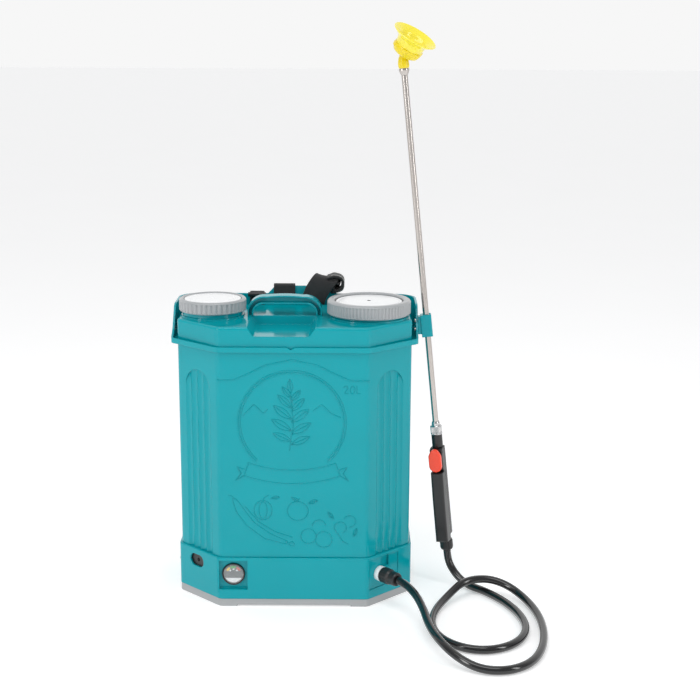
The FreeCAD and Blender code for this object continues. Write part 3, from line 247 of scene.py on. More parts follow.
class Board:
    # one material; fixed are its shader's constant inputs

    def __init__(self, name, **fixed):
        self.material = bpy.data.materials.new(name)
        self.material.use_nodes = True
        self.tree = self.material.node_tree
        self.shader = self.tree.nodes["Principled BSDF"]
        for socket, value in fixed.items():
            self.shader.inputs[socket.replace("_", " ")].default_value = value

    def add(self, kind, settings=None, *values, out=0, at=None, **named):
        node = self.tree.nodes.new("ShaderNode" + kind)
        for key, value in (settings or {}).items():
            setattr(node, key, value)
        sockets = list(enumerate(values)) + list((at or {}).items())
        sockets += [(word.replace("_", " "), value) for word, value in named.items()]
        for key, value in sockets:
            if isinstance(value, Wire):
                self.tree.links.new(value.socket, node.inputs[key])
            else:
                node.inputs[key].default_value = value
        return Wire(self, node.outputs[out])

    def noise(self, scale, detail=3.0, rough=0.5, stretch=(1, 1, 1)):
        place = self.add("TexCoord", None, out=3)
        place = self.add("Mapping", None, Vector=place, Scale=stretch)
        return self.add("TexNoise", None, Vector=place, Scale=scale, Detail=detail, Roughness=rough)

    def mix(self, amount, low, high):
        low, high = [value if isinstance(value, Wire) else (*value, 1) for value in (low, high)]
        return self.add("Mix", {"data_type": "RGBA"}, out=2, at={0: amount, 6: low, 7: high})

    def feed(self, socket, wire):
        self.tree.links.new(wire.socket, self.shader.inputs[socket])

    def bump(self, height, strength, distance, under=None):
        named = {"Strength": strength, "Distance": distance, "Height": height}
        if under is not None:
            named["Normal"] = under
        return self.add("Bump", None, **named)


def colour(*levels):
    # 8-bit sRGB levels to linear light
    shares = [level / 255 for level in levels]
    return tuple(share / 12.92 if share <= 0.04045 else ((share + 0.055) / 1.055) ** 2.4
                 for share in shares)


# camera and light

view = {"lens": 69.43, "sensor": 36, "near": 0.05,
        "at": (0.0833, -2.0192, 0.8404), "down": 12.902, "roll": 0.311}
studio = {
    "surround": 0.93,
    "dimSide": (0.46, 0.465, 0.475),
    "floorReach": 40,
    "lamps": {
        "softTop": {"size": (1.6, 0.9), "power": 13.5, "at": (-0.1, -0.7, 2.2), "to": (0, 0, 0.3)},
        "softLeft": {"size": (0.5, 1.8), "power": 18, "at": (-1.9, -1.7, 1.2), "to": (0, 0, 0.3)},
        "softRight": {"size": (0.4, 1.7), "power": 13.5, "at": (2.1, -1.3, 1.2), "to": (0, 0, 0.3)},
    },
}


def setCamera():
    lens = bpy.data.cameras.new("camera")
    lens.lens = view["lens"]
    lens.sensor_width = view["sensor"]
    lens.clip_start = view["near"]
    camera = bpy.data.objects.new("camera", lens)
    tilt = turned(90 - view["down"], "X")
    camera.matrix_world = Matrix.Translation(view["at"]) @ tilt @ turned(view["roll"], "Z")
    scene.collection.objects.link(camera)
    scene.camera = camera
    scene.view_settings.view_transform = "Standard"


def setSurround():
    # white towards the back, dimmer from the viewer's side
    world = bpy.data.worlds.new("studio")
    scene.world = world
    world.use_nodes = True
    tree = world.node_tree
    shade = tree.nodes["Background"]
    shade.inputs["Strength"].default_value = studio["surround"]
    sight = tree.nodes.new("ShaderNodeTexCoord")
    split = tree.nodes.new("ShaderNodeSeparateXYZ")
    ramp = tree.nodes.new("ShaderNodeValToRGB")
    ramp.color_ramp.elements[0].color = (*studio["dimSide"], 1)
    ramp.color_ramp.elements[1].color = (1, 1, 1, 1)
    ramp.color_ramp.elements[1].position = 0.5
    tree.links.new(sight.outputs["Generated"], split.inputs[0])
    tree.links.new(split.outputs["Y"], ramp.inputs["Fac"])
    tree.links.new(ramp.outputs["Color"], shade.inputs["Color"])


def setFloor():
    mesh = bpy.data.meshes.new("floor")
    reach = studio["floorReach"]
    corners = [(-reach, -reach, 0), (reach, -reach, 0), (reach, reach, 0), (-reach, reach, 0)]
    mesh.from_pydata(corners, [], [(0, 1, 2, 3)])
    floor = adopt("floor", mesh, None, floorFinish())


def floorFinish():
    board = Board("paleFloor", Roughness=0.9, Emission_Color=(1, 1, 1, 1), Emission_Strength=0.34)
    board.feed("Base Color", board.mix(board.noise(2.5), (0.87, 0.87, 0.87), (0.9, 0.9, 0.9)))
    return board.material


def setLamps():
    for name, lamp in studio["lamps"].items():
        light = bpy.data.lights.new(name, "AREA")
        light.shape = "RECTANGLE"
        light.size, light.size_y = lamp["size"]
        light.energy = lamp["power"]
        holder = bpy.data.objects.new(name, light)
        holder.location = lamp["at"]
        aim = Vector(lamp["to"]) - Vector(lamp["at"])
        holder.rotation_euler = aim.to_track_quat("-Z", "Y").to_euler()
        scene.collection.objects.link(holder)


setCamera()
setSurround()
setFloor()
setLamps()
print("stage set")


# finishes

def moulded(name, tint, gloss, grain=0.08, sheen=0.0, edge=0.8, cloudy=0.06, **fixed):
    board = Board(name, Coat_Weight=sheen, Coat_Roughness=0.08, **fixed)
    clouds = board.noise(11, 2)
    specks = board.noise(1500, 3, 0.6)
    pale = tuple(min(1, channel * (1 + cloudy)) for channel in tint)
    deep = tuple(channel * (1 - cloudy) for channel in tint)
    board.feed("Base Color", board.mix(clouds, deep, pale))
    board.feed("Roughness", clouds * 0.08 + specks * 0.06 + (gloss - 0.07))
    corner = board.add("Bevel", {"samples": 6}, Radius=edge * mm) if edge else None
    wavy = board.bump(board.noise(16, 1), 0.25, 0.0012, corner)
    board.feed("Normal", board.bump(specks, grain, 0.0001, wavy))
    return board.material


def metal(name, tint, rough, stretch=(1, 1, 1)):
    board = Board(name, Metallic=1.0)
    brushed = board.noise(300, 3, 0.6, stretch)
    board.feed("Base Color", board.mix(brushed, tuple(c * 0.86 for c in tint), tint))
    board.feed("Roughness", brushed * 0.14 + (rough - 0.07))
    board.feed("Normal", board.bump(brushed, 0.12, 0.0002))
    return board.material


def woven(name, tint, thread=0.9, slope=1.0, sheen=0.3):
    # threads run with the piece's own width and length, which its UV layer keeps in metres
    board = Board(name, Sheen_Weight=sheen, Sheen_Roughness=0.4)
    place = board.add("TexCoord", None, out=2)
    across = board.add("SeparateXYZ", None, place)
    along = Wire(board, across.socket.node.outputs[1])
    step = 2 * math.pi / (thread * mm)
    warp = (across * step).wave()
    weft = (along * step * slope + (across * (step / 2)).wave() * 1.4).wave()
    height = warp * 0.5 + weft * 0.5
    fuzz = board.noise(420, 3)
    shadow = tuple(c * 0.45 for c in tint)
    board.feed("Base Color", board.mix(height * 0.35 + fuzz * 0.5 + 0.1, shadow, tint))
    board.feed("Roughness", fuzz * 0.2 + 0.5)
    board.feed("Normal", board.bump(height + fuzz * 0.5, 0.6, 0.0004))
    return board.material


def clear(name):
    board = Board(name, Coat_Weight=0.6, Coat_Roughness=0.03)
    smears = board.noise(60, 3)
    board.feed("Alpha", smears * 0.06 + 0.09)
    board.feed("Base Color", board.mix(smears, (0.93, 0.95, 0.95), (1, 1, 1)))
    board.feed("Roughness", smears * 0.08 + 0.02)
    return board.material


finishes = {
    "teal": moulded("tealShell", colour(0, 157, 168), gloss=0.1, grain=0.05, sheen=0.14, edge=1.8,
                    Specular_IOR_Level=0.22),
    "plate": moulded("greyPlate", colour(168, 170, 171), gloss=0.5, grain=0.3, edge=1.2),
    "cap": moulded("capGrey", colour(164, 167, 169), gloss=0.28, sheen=0.25, edge=0),
    "white": moulded("whiteDisc", colour(244, 245, 246), gloss=0.26, grain=0.05, sheen=0.25,
                     edge=0.5, cloudy=0.02),
    "satin": moulded("satinBlack", colour(30, 30, 31), gloss=0.36, grain=0.35, sheen=0.1,
                     edge=0.9, cloudy=0.15),
    "grip": moulded("gripBlack", colour(27, 27, 28), gloss=0.38, grain=0.5, sheen=0.1,
                    edge=4.2, cloudy=0.15),
    "rubber": moulded("rubberBlack", colour(24, 24, 25), gloss=0.5, grain=0.3, edge=0.3,
                      cloudy=0.15),
    "hose": moulded("hoseBlack", colour(17, 17, 18), gloss=0.17, grain=0.04, sheen=0.5, edge=0,
                    cloudy=0.2),
    "red": moulded("triggerRed", colour(255, 66, 30), gloss=0.28, sheen=0.3, edge=1.6,
                   cloudy=0.04),
    # one yellow plastic in two copies: the bell's is painted lighter, painted light shining through
    # its thin wall; the other yellow parts keep the deeper copy
    "yellow": moulded("bellYellow", colour(246, 231, 68), gloss=0.2, grain=0.03, sheen=0.35,
                      edge=0, cloudy=0.02),
    "deepYellow": moulded("skirtYellow", colour(236, 212, 22), gloss=0.22, grain=0.03, sheen=0.3,
                     edge=0, cloudy=0.02),
    "steel": metal("stainless", (0.56, 0.52, 0.49), 0.2, (1, 1, 0.03)),
    "nickel": metal("nickel", (0.62, 0.62, 0.62), 0.2),
    "brass": metal("brass", (0.78, 0.58, 0.28), 0.3),
    "dial": moulded("dialFace", colour(70, 72, 75), gloss=0.4, grain=0.1),
    "board": moulded("boardGreen", colour(20, 96, 52), gloss=0.45, grain=0.2),
    "lens": clear("lens"),
    "weave": woven("webbing", colour(44, 44, 46)),
    "padCloth": woven("padCloth", colour(36, 36, 38), thread=1.6, slope=0.5, sheen=0.2),
    "thread": moulded("thread", colour(216, 216, 212), gloss=0.7, grain=0.4, edge=0),
}
worn = {
    "teal": ["tank_shell", "tank_lid", "base_housing", "rim_frame", "carry_handle", "lance_clip"],
    "plate": ["base_plate"],
    "white": ["filler_basket", "outlet_union", "tank_outlet"],
    "satin": ["charging_socket", "gauge_cup", "gun_hose_nut", "outlet_nut", "power_rocker",
              "slider_left", "slider_right", "strap_roller", "switch_frame", "valve_body",
              "pump_head", "battery"],
    "grip": ["grip_front", "grip_rear"],
    "rubber": ["battery_strap", "bell_seal", "big_gasket", "outlet_seals", "pressure_hose",
               "pump_bracket", "small_gasket", "suction_hose"],
    "steel": ["base_screws", "grip_pipe", "grip_screws", "pump_motor", "rim_fasteners",
              "strap_bars", "trigger_pin"],
    "brass": ["valve_stem"], "red": ["trigger"], "dial": ["gauge_face"], "board": ["gauge_board"],
    "lens": ["gauge_lens"],
}
for finish, names in worn.items():
    for name in names:
        mesh = nodes[name].data
        mesh.materials.clear()
        mesh.materials.append(finishes[finish])
print("finishes set")


# spray hose: a tube along the smooth line of its control points, bent where it meets the gun

hoseSettings = {"across": 12, "length": 1.28, "finer": 12, "around": 28,
                "bendWay": (-0.3, 0.9, 0.3), "bendReach": 0.056}
hoseRoute = [
    (151.3, -106.1, 48), (165.3, -120.4, 48), (182, -150, 42.5), (192, -186, 35),
    (198, -232, 28), (211, -272, 23.5), (233, -303, 14), (264, -325, 6.5),
    (303, -327, 6.3), (337, -302, 6.3), (358, -256, 6.3), (368, -198, 6.3),
    (367, -136, 6.3), (353, -83, 8.5), (328, -56, 19), (296, -47, 25.5),
    (260, -57, 23.5), (235, -86, 12), (213, -126, 6.3), (204, -178, 6.3),
    (214, -224, 6.3), (241, -255, 6.3), (275, -265, 6.3), (308, -253, 6.3),
    (332, -226, 6.3), (344, -187, 6.3), (340, -143, 6.3), (326, -102, 6.3),
    (308, -71, 6.3), (290, -48, 6.3), (271.7, -31.9, 6.3), (256.5, -17.3, 14),
    (245.8, -7, 26.5), (240.5, -2, 39.2), (239, -2, 53.1)]


def smoothLine(points, finer):
    curve = bpy.data.curves.new("line", "CURVE")
    curve.dimensions = "3D"
    curve.resolution_u = finer
    spline = curve.splines.new("NURBS")
    spline.points.add(len(points) - 1)
    for point, spot in zip(spline.points, points):
        point.co = (*(Vector(spot) * mm), 1)
    spline.order_u = 3
    spline.use_endpoint_u = True
    return [Vector(v.co) / mm for v in meshOf(curve).vertices]


line = smoothLine(hoseRoute, hoseSettings["finer"])
hose = pipe("sprayHose", line, hoseSettings["across"] / 2, None, finishes["hose"],
            hoseSettings["around"])
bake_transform(hose)
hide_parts("spray_hose")
print("hose done")


# screw caps: a ribbed ring, a stepped disc with a dark ring of painted shade in the groove round
# it, and the vent in its middle

caps = {
    "big": {"place": bigPlace, "outer": 63.4, "high": 18, "neck": 58.2, "disc": 51.8, "seat": 16,
            "ribs": 72, "deep": 1.3, "step": 5.4, "gap": 1.7,
            "vent": "rubber", "ventSlot": "rubber"},
    "small": {"place": smallPlace, "outer": 50.8, "high": 15.6, "neck": 46.2, "disc": 43.4,
              "seat": 15, "ribs": 40, "deep": 1.9, "step": 9, "gap": 0.7,
              "vent": "white", "ventSlot": "white_plastic"},
}


def screwCap(name, cap):
    outer, high, disc, seat = cap["outer"], cap["high"], cap["disc"], cap["seat"]
    neck, rim = cap["neck"], cap["disc"] - cap["gap"]
    inner = disc - cap["step"]
    top = seat + 2.4
    body = name + "_cap"

    def grooves(angle, radius, height):
        if radius < outer - 0.3 or not 2.2 < height < high - 0.4:
            return 0
        return -cap["deep"] * (0.5 - 0.5 * math.cos(cap["ribs"] * angle)) ** 2

    ring = lathe(name + "CapRing", [
        (neck, 0), (outer - 1.2, 0, 0.4), (outer, 1.6, 0.5), (outer, 2.4), (outer, 3.4),
        (outer, high / 2), (outer, high - 1.6), (outer, high - 0.5), (outer, high, 0.4),
        (outer - 1, high + 1.6, 0.8), (outer - 2.8, high + 3, 1.2), (disc + 2.2, high + 3, 0.8),
        (disc + 0.4, high + 1.4, 0.6), (disc + 0.3, seat), (neck, seat)],
        cap["place"], body, finishes["cap"], cap["ribs"] * 10, grooves, 40)
    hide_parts(name + "_cap")
    lid = lathe(name + "CapDisc", [
        (2.9, seat), (disc, seat), (disc, seat + 0.5), (rim, seat + 0.6), (rim, top - 0.1, 0.5),
        (inner + 1.4, top, 0.5), (inner + 0.5, top - 0.7, 0.4), (inner - 0.7, top - 0.7, 0.4),
        (inner - 1.6, top + 0.3, 0.5), (inner * 0.5, top + 0.75), (5.4, top + 0.9),
        (4.6, top + 0.3, 0.3), (2.9, top + 0.3)],
        cap["place"], body, finishes["white"], 128)
    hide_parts(name + "_cap_disc")
    # painted shade: a dark ring laid in the groove between disc and ring, where the gap lies in
    # shadow
    grooveShade = lathe(name + "CapSeal", [
        (rim, seat + 0.5), (disc + 0.3, seat + 0.5), (disc + 0.3, seat + 1.5), (rim, seat + 1.5)],
        cap["place"], body, finishes["satin"], 128)
    vent = lathe(name + "CapVent", [
        (0.02, seat - 0.4), (2.8, seat - 0.4), (2.8, top + 0.4, 0.3), (1.6, top + 0.8, 0.3),
        (0.02, top + 0.9)],
        cap["place"], body, finishes[cap["vent"]], 40)


for name, cap in caps.items():
    screwCap(name, cap)
print("caps done")


# nozzle, and the ripples of its lathes: how much the radius changes at a point

flats = {"count": 8, "deep": 0.45, "outside": 7, "below": 562}
lugs = {"count": 6, "high": 1.7, "half": 8.6, "ramp": 1.2, "start": 12, "outside": 20.5,
        "from": 11, "to": 17.2}
knurls = {"count": 28, "deep": 0.45, "outside": 8.7, "from": -8.4, "to": 3.2}


def elbowFlats(angle, radius, height):
    cut = radius > flats["outside"] and height < flats["below"]
    return flats["deep"] * math.cos(flats["count"] * angle) * (1 if cut else 0)


def skirtLugs(angle, radius, height):
    pitch = 360 / lugs["count"]
    turn = (math.degrees(angle) - lugs["start"] + pitch / 2) % pitch - pitch / 2
    side = max(0, min(1, (lugs["half"] - abs(turn)) / lugs["ramp"]))
    raised = radius > lugs["outside"] and lugs["from"] < height < lugs["to"]
    return lugs["high"] * side * (1 if raised else 0)


def knurl(angle, radius, height):
    cut = radius > knurls["outside"] and knurls["from"] < height < knurls["to"]
    return knurls["deep"] * (math.cos(knurls["count"] * angle) - 1) * (1 if cut else 0)


def yellowPart(name, node, profile, place, body, around, ripple=None, sharp=32, finish="deepYellow"):
    part = lathe(name, profile, place, body, finishes[finish], around, ripple, sharp)
    if node:
        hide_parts(node)


yellowPart("nozzleElbow", "nozzle_elbow", [
    (2.2, 549.8), (7.3, 549.8, 0.4), (8, 553, 1), (8, 556), (7.7, 560, 1.5), (6.4, 566, 2.5),
    (3, 569.5, 1), (2.2, 569.5)],
    wandPlace, "nozzle", 96, elbowFlats)
yellowPart("nozzleStub", None, [
    (2.2, -1), (5.6, -1), (5.6, 5.2, 0.3), (6.6, 6, 0.3), (6.6, 6.4), (2.2, 6.4)],
    bellPlace, "nozzle", 64)
yellowPart("nozzleCore", "nozzle_core", [
    (2.2, 6.2), (9, 6.2, 0.4), (9, 20.6, 0.6), (5.2, 20.6, 0.4), (4, 21.2, 0.4), (3, 22, 0.4),
    (1.2, 22, 0.3), (1.2, 16), (2.2, 14)],
    bellPlace, "nozzle", 64)
yellowPart("bellSkirt", "bell_skirt", [
    (9.4, 4.6), (16.6, 4.6, 0.8), (19.4, 6.6, 1), (21.2, 11), (21.5, 11.6), (21.8, 12.4),
    (22, 16.6), (22, 17.4, 0.4), (20, 18.4, 0.5), (18.4, 17, 0.5), (17.4, 10, 2),
    (15.4, 7.2, 1), (9.4, 7.2)],
    bellPlace, "bell", 360, skirtLugs, 40)
# the bell takes the lighter yellow: painted light shining through its translucent wall
yellowPart("bell", "bell", [
    (9.4, 17.6), (20.9, 17.6, 0.4), (21.2, 21.5, 4), (23.4, 28.2, 8), (34, 35.9, 0.4),
    (34.1, 36.6, 0.3), (33.4, 37.2, 0.4), (23, 30.4, 8), (20, 25.6, 6), (15.5, 22.4, 2),
    (9.4, 21.4, 0.4)],
    bellPlace, "bell", 144, finish="yellow")
# painted shade: a black plug in the core's bore stands for the dark inside of the spray hole
orificeShade = lathe("sprayOrifice", [(0.02, 17), (1.15, 17), (1.15, 21.4), (0.02, 21.4)],
                bellPlace, "nozzle", finishes["rubber"], 24)
print("nozzle done")


# lance and its nut

lance = lathe("lanceTube", [
    (3.95, -8), (4.65, -8, 0.2), (4.65, 20), (4.65, 270), (4.65, 539.6), (5.4, 540.2, 0.3),
    (7.3, 545, 2), (7.7, 546.8, 0.8), (7.7, 549.2, 0.4), (4.8, 549.4), (3.95, 549.4)],
    wandPlace, "wand", finishes["steel"], 64)
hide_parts("lance_tube")

nut = lathe("lanceNut", [
    (7.2, -10), (8.2, -10, 0.4), (9, -8.9, 0.4), (9, -8.2), (9, -3), (9, 3), (9, 3.7, 0.3),
    (8, 4.7, 0.4), (6.4, 4.9, 0.2), (6.4, 8.6, 0.8), (5.3, 11.4, 0.3), (4.75, 11.4),
    (4.75, 1.3), (7.2, 1.3)],
    wandPlace, "wand", finishes["nickel"], 280, knurl, 40)
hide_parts("lance_nut")
print("lance done")


# valve spring: a coil of wire in place of the imported spring

coilSettings = {"start": -1.1, "end": 6.0, "axis": -55, "turns": 6.5, "steps": 200,
                "radius": 2.5, "wire": 0.32, "around": 10, "kept": 0.7}


def valveCoil():
    path = []
    for step in range(coilSettings["steps"] + 1):
        share = step / coilSettings["steps"]
        angle = 2 * math.pi * coilSettings["turns"] * share
        along = coilSettings["start"] + (coilSettings["end"] - coilSettings["start"]) * share
        path.append((coilSettings["radius"] * math.cos(angle), along,
                     coilSettings["axis"] + coilSettings["radius"] * math.sin(angle)))
    coil = pipe("valveCoil", path, coilSettings["wire"], "wand", finishes["steel"],
                coilSettings["around"], wandPlace)
    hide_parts("valve_spring")
    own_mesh(coil)


valveCoil()


# webbing and pads: a rounded flat section swept along a line; the UV layer keeps width and run

def resample(points, gap):
    points = [Vector(p) for p in points]
    even = []
    for first, second in zip(points, points[1:]):
        count = max(1, round((second - first).length / gap))
        even += [first.lerp(second, step / count) for step in range(count)]
    return even + [points[-1]]


def lengthOf(points):
    return sum((second - first).length for first, second in zip(points, points[1:]))


def band(name, path, across, wide, thick, finish, power=5, around=36, sag=0.0):
    last = len(path) - 1
    whole = lengthOf(path)
    run = 0
    verts, marks = [], []
    for index, point in enumerate(path):
        if index:
            run += (point - path[index - 1]).length
        ahead = (path[min(index + 1, last)] - path[max(index - 1, 0)]).normalized()
        side = (Vector(across) - ahead * ahead.dot(Vector(across))).normalized()
        up = side.cross(ahead)
        near = min(run, whole - run) / (thick / 2)
        full = math.sqrt(max(0.02, 1 - (1 - near) ** 2)) if near < 1 else 1
        ripple = sag * (math.sin(run * 0.21) + 0.6 * math.sin(run * 0.087 + 1.3))
        for turn in range(around):
            angle = 2 * math.pi * (turn + 0.5) / around
            flat, tall = math.cos(angle), math.sin(angle)
            reach = math.copysign(abs(flat) ** (2 / power), flat) * wide / 2
            lift = math.copysign(abs(tall) ** (2 / power), tall) * thick / 2 * full
            verts.append(point + side * reach + up * (lift + ripple * math.cos(reach * 0.13)))
            marks.append((reach * mm, run * mm))
    mesh = bpy.data.meshes.new(name)
    mesh.from_pydata([v * mm for v in verts], [], tubeFaces(len(path), around))
    layer = mesh.uv_layers.new(name="weave")
    for loop in mesh.loops:
        layer.data[loop.index].uv = marks[loop.vertex_index]
    tidyMesh(mesh, 60)
    return adopt(name, mesh, "tank", finish)


def webbing(name, line, across, wide, thick, *replaced, rest="rim_frame", **form):
    piece = band(name, line, across, wide, thick, finishes["weave"], **form)
    if replaced:
        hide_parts(*replaced)
    wide * mm
    round(lengthOf(line)) * mm


def stitchRow(name, path, offset, long=2.6, gap=4.4, thick=0.32):
    sides = 8
    shape = ((-0.5, 0.3), (-0.36, 1), (0.36, 1), (0.5, 0.3))
    verts, faces = [], []
    spots = resample(path, gap)
    for first, second in zip(spots, spots[1:]):
        ahead = (second - first).normalized()
        middle = (first + second) / 2 + Vector(offset)
        side = ahead.orthogonal().normalized()
        up = ahead.cross(side)
        base = len(verts)
        for along, size in shape:
            for turn in range(sides):
                angle = 2 * math.pi * turn / sides
                verts.append(middle + ahead * (along * long) +
                             (side * math.cos(angle) + up * math.sin(angle)) * (thick * size))
        faces += tubeFaces(len(shape), sides, base)
    row = newPiece(name, verts, faces, plain, "tank", finishes["thread"], 60)


def sidePath(x, corners):
    # corners are (y, z) or (y, z, radius)
    return resample([(x, y, z) for y, z in softOutline(corners, 6, False)], 2)


straps = {"left": {"x": -21.5, "foot": -47}, "right": {"x": 24, "foot": 47}}
pads = {"wide": 42, "thick": 9.6, "y": 113.2, "top": 438, "drop": 228, "steps": 117,
        "bendTop": 430, "bendDrop": 190, "sag": 0.12, "power": 3.2, "softness": 0.7,
        "stitchInset": 5.4, "stitchProud": 4.75, "stitchGap": 4.4}
crosswise = (1, 0, 0)


def backPad(side, strap):
    # hangs down the back and eases out towards its foot
    points = []
    for step in range(pads["steps"] + 1):
        z = pads["top"] - pads["drop"] * step / pads["steps"]
        ease = max(0, min(1, (pads["bendTop"] - z) / pads["bendDrop"]))
        ease = ease * ease * (3 - 2 * ease)
        points.append(Vector((strap["x"] + (strap["foot"] - strap["x"]) * ease, pads["y"], z)))
    pad = band(side + "StrapPad", points, crosswise, pads["wide"], pads["thick"],
               finishes["padCloth"], power=pads["power"], around=48, sag=pads["sag"])
    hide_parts("shoulder_strap_" + side)
    binding = resample(points[3:-3], pads["stitchGap"])
    for edge in (-1, 1):
        offset = (edge * (pads["wide"] / 2 - pads["stitchInset"]), pads["stitchProud"], 0)
        stitchRow("%sPadStitch%d" % (side, edge), binding, offset)


over = sidePath(straps["left"]["x"], [
    (98, 442), (98, 461.8, 3), (105.3, 462.2, 3.4), (111.6, 446, 6), (113.2, 428)])
webbing("leftStrapWeb", over, crosswise, 34, 2.1, around=32, sag=0.1)
for side, strap in straps.items():
    backPad(side, strap)

fold = resample([
    (24, 88.5, 435.5), (26.5, 87.4, 445), (30.5, 87.2, 454), (36, 88, 462.5),
    (41, 90.4, 468.8), (46, 95, 473), (49, 101, 474.6), (50.5, 107.5, 473.4),
    (50.5, 112.4, 468.5), (48, 114.8, 460), (43, 115.4, 450), (38, 115, 440)], 2)
for again in range(3):
    middles = [(a + b * 2 + c) / 4 for a, b, c in zip(fold, fold[1:], fold[2:])]
    fold = [fold[0]] + middles + [fold[-1]]
webbing("rightStrapWeb", fold, (1, 0.02, -0.1), 37, 2.4, around=36, sag=0.15)

rollSettings = {"y": 104, "wide": 31, "thick": 5.2, "eye": (63, 104, 464), "stitchOut": 2.6,
                "stitchSide": 12.2}
roll = resample([(x, rollSettings["y"], z) for x, z in softOutline([
    (46, 473), (58, 476.5, 8), (71.5, 473, 9), (71, 455.5, 8), (59, 451.5, 6), (54.5, 459, 4),
    (59.5, 466, 4), (65.5, 463.5, 2)], 8, False)], 1.5)
rolled = band("rightStrapRoll", roll, (0, 1, 0), rollSettings["wide"], rollSettings["thick"],
              finishes["padCloth"], power=pads["power"], around=44)
eye = Vector(rollSettings["eye"])
seam = [p + (p - eye).normalized() * rollSettings["stitchOut"] for p in roll[6:42]]
for edge in (-1, 1):
    stitchRow("rollStitch%d" % edge, seam, (0, edge * rollSettings["stitchSide"], 0), 2.2, 3.8)

tailLine = sidePath(-65, [(98, 421), (98, 449.6, 2.6), (105, 449.9, 2.6), (105.4, 302)])
webbing("strapTail", tailLine, crosswise, 23, 2, "strap_tail", around=28, sag=0.08)
for side, strap in straps.items():
    low = sidePath(strap["foot"], [
        (111.8, 214), (111.8, 58, 8), (114, 43, 4), (109.4, 37.2, 4), (104.6, 41.6, 3),
        (108.6, 46.8, 2), (111, 52)])
    replaced = ["lower_webbing"] if side == "left" else []
    webbing(side + "LowerWeb", low, crosswise, 27, 1.7, *replaced, rest="base_housing", around=28)
print("straps done")


# raised drawing on the front panel: closed strips along lines of (x, z)

frontPlane = -98.5


def ridges(name, lines, wide, high):
    section = [(-0.5, -0.3), (-0.32, 0.6), (-0.12, 0.95), (0.12, 0.95), (0.32, 0.6), (0.5, -0.3)]
    size = len(section)
    verts, faces = [], []
    for path, closed in lines:
        base = len(verts)
        count = len(path)
        for index, here in enumerate(path):
            before = path[index - 1] if closed or index else here
            after = path[(index + 1) % count] if closed or index < count - 1 else here
            ahead = (Vector(after) - Vector(before)).normalized()
            side = Vector((-ahead.y, ahead.x))
            for offset, lift in section:
                spot = Vector(here) + side * (offset * wide)
                verts.append((spot.x, frontPlane - lift * high, spot.y))
        faces += tubeFaces(count, size, base, capped=False)
        end = base + (count - 1) * size
        if closed:
            for edge in range(size):
                after = (edge + 1) % size
                faces.append((end + edge, end + after, base + after, base + edge))
        else:
            faces.append(tuple(range(base, base + size)))
            faces.append(tuple(range(end, end + size))[::-1])
    drawing = newPiece(name, verts, faces, plain, "tank", finishes["teal"], 50)


def arcLine(x, z, radius, start, finish, steps, tall=1.0):
    turns = [math.radians(start + (finish - start) * step / steps) for step in range(steps + 1)]
    return [(x + radius * math.cos(turn), z + radius * tall * math.sin(turn)) for turn in turns]


def ringLine(x, z, radius, steps, tall=1.0, start=0):
    return arcLine(x, z, radius, start, start + 360, steps, tall)[:-1]


def curveLine(corners, rounding=6, closed=False):
    rounded = [(*corner, rounding) for corner in corners]
    return [tuple(p) for p in softOutline(rounded, 6, closed)]


def leaf(x, z, long, angle):
    # a rim that goes out in half of its steps and comes back in the rest, round a short vein
    fat, half = 0.34, 12
    turn = math.radians(angle)
    rim = []
    for step in range(2 * half + 1):
        outward = step <= half
        share = (step if outward else 2 * half - step) / half
        bulge = fat * long * math.sin(math.pi * share) ** 0.9 / 2 * (1 if outward else -1)
        rim.append((x + long * share * math.cos(turn) - bulge * math.sin(turn),
                    z + long * share * math.sin(turn) + bulge * math.cos(turn)))
    vein = [(x + long * share * math.cos(turn), z + long * share * math.sin(turn))
            for share in (0.06, 0.4, 0.86)]
    return [(rim[:-1], True), (vein, False)]


ring = {"x": -2, "z": 289, "radius": 80, "gap": 3.4}
shoulderLine = curveLine([
    (-112, 354), (-88, 354), (-66, 364), (-40, 377), (-2, 385), (36, 377), (62, 364), (84, 354),
    (112, 354)], 18)
ridges("frontPanelLines", [
    (shoulderLine, False),
    (arcLine(ring["x"], ring["z"], ring["radius"], -48, 228, 110), False),
    (arcLine(ring["x"], ring["z"], ring["radius"] - ring["gap"], -47, 227, 110), False),
], 2.0, 1.0)

sprig = [(curveLine([(-6, 246), (-4, 262), (0, 286), (-2, 312), (-4, 336)], 20), False)]
for step, (z, long) in enumerate([(256, 30), (272, 34), (290, 33), (307, 28), (322, 22)]):
    lean = 24 + step * 7
    sprig += leaf(-3, z, long, lean) + leaf(-3, z + 5, long, 180 - lean)
sprig += leaf(-4, 334, 22, 93)
hills = [[(-74, 300), (-58, 318), (-44, 303), (-38, 310)],
         [(30, 308), (42, 318), (56, 304), (70, 298)]]
sprig += [(curveLine(hill, 3), False) for hill in hills]
ridges("frontSprig", sprig, 1.5, 0.8)

ribbonMiddle = (-2, 410)
ribbonSpan = (250.5, 289.5)
ridges("frontRibbon", [
    (arcLine(*ribbonMiddle, 194, *ribbonSpan, 40), False),
    (arcLine(*ribbonMiddle, 215, *ribbonSpan, 40), False),
    ([(-66.8, 227.1), (-73.8, 207.3)], False),
    ([(62.8, 227.1), (69.8, 207.3)], False),
    ([(-71, 216.5), (-84, 221), (-78, 211), (-86, 200), (-73.8, 207.3)], False),
    ([(67, 216.5), (80, 221), (74, 211), (82, 200), (69.8, 207.3)], False),
], 1.8, 0.9)

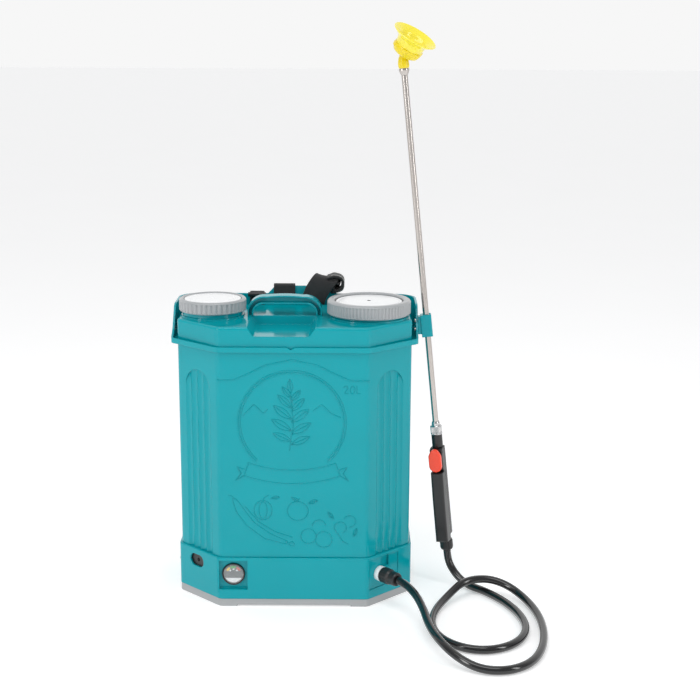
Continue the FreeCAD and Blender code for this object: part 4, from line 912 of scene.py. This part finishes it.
pumpkin = (-46, 153)
fruit = [
    (ringLine(*pumpkin, 13.5, 40, 1.12, 60), True),
    (arcLine(*pumpkin, 6, 100, 260, 20, 2.2), False),
    (arcLine(*pumpkin, 6, -80, 80, 20, 2.2), False),
    (curveLine([(-46, 167), (-44, 173), (-38, 176)]), False),
    (ringLine(6, 152, 15.5, 48, 0.96), True),
    (curveLine([(6, 166), (9, 172)]), False),
    (ringLine(22, 112, 11.5, 40), True),
    (ringLine(45, 107, 12.5, 40), True),
    (arcLine(38, 128, 10, 10, 175, 24), False),
    (arcLine(70, 126, 9, -60, 240, 36), False),
    (arcLine(84, 136, 9, -90, 150, 30), False),
    (curveLine([(66, 117), (74, 104), (82, 100)]), False),
    (curveLine([(-92, 170), (-86, 150), (-70, 128), (-44, 108), (-12, 99), (-8, 103),
                (-36, 116), (-60, 134), (-76, 156), (-86, 171)], 10, True), True),
    (curveLine([(-89, 170), (-93, 176), (-98, 176)]), False),
    (curveLine([(-72, 158), (-52, 134), (-28, 119), (-2, 110)], 16), False),
    (curveLine([(-9, 100), (-2, 104), (2, 98), (-4, 96)], 2, True), True)]
for x, z, long, angle in ((22, 164, 15, 20), (8, 167, 13, 150), (-34, 172, 13, 8),
                          (90, 112, 14, 70), (60, 140, 14, 130)):
    fruit += leaf(x, z, long, angle)
ridges("frontFruit", fruit, 1.5, 0.8)

two = curveLine([(74.5, 343.4), (76, 345.6), (79, 345.8), (80.6, 343.2), (79.4, 340.2),
                 (74.4, 334.6), (81.2, 334.6)], 1.4)
zero = ringLine(87.4, 340, 3.4, 28, 1.65)
litres = [(93.6, 345.8), (93.6, 334.6), (99, 334.6)]
ridges("frontCapacity", [(two, False), (zero, True), (litres, False)], 1.3, 0.6)
print("relief done")


# battery gauge: raised marks on its face, and three lamps

def sector(start, finish, inner=9.4, outer=12.8, steps=20):
    return arcLine(0, 0, outer, start, finish, steps) + arcLine(0, 0, inner, finish, start, steps)


gaugeParts = {
    "First": (colour(240, 200, 40), sector(120, 152)),
    "Second": (colour(60, 170, 70), sector(72, 114)),
    "Third": (colour(206, 62, 44), sector(30, 64)),
    "Blank": (colour(238, 239, 240), arcLine(0, 0, 13.8, -152, -28, 30)),
}
for name, (tint, outline) in gaugeParts.items():
    printed = moulded("gauge" + name, tint, gloss=0.35, grain=0.05, sheen=0.2, edge=0)
    part = plate("gauge" + name, outline, 1.0, 1.35, gaugePlace, "tank", printed, 0.1, 1)

lampRing = 7.4
for number, turn in enumerate((-0.75, 0, 0.75)):
    offset = Vector((lampRing * math.sin(turn), lampRing * math.cos(turn), 0)) * mm
    glow = moulded("lamp%d" % number, colour(235, 240, 238), gloss=0.2, grain=0.02, sheen=0.4,
                   edge=0.1)
    lamp = lathe("gaugeLamp%d" % number, [
        (0.02, 0.3), (1.5, 0.3), (1.5, 1.1, 0.3), (0.9, 1.5, 0.3), (0.02, 1.6)],
        gaugePlace @ Matrix.Translation(offset), "tank", glow, 28)
print("gauge done")
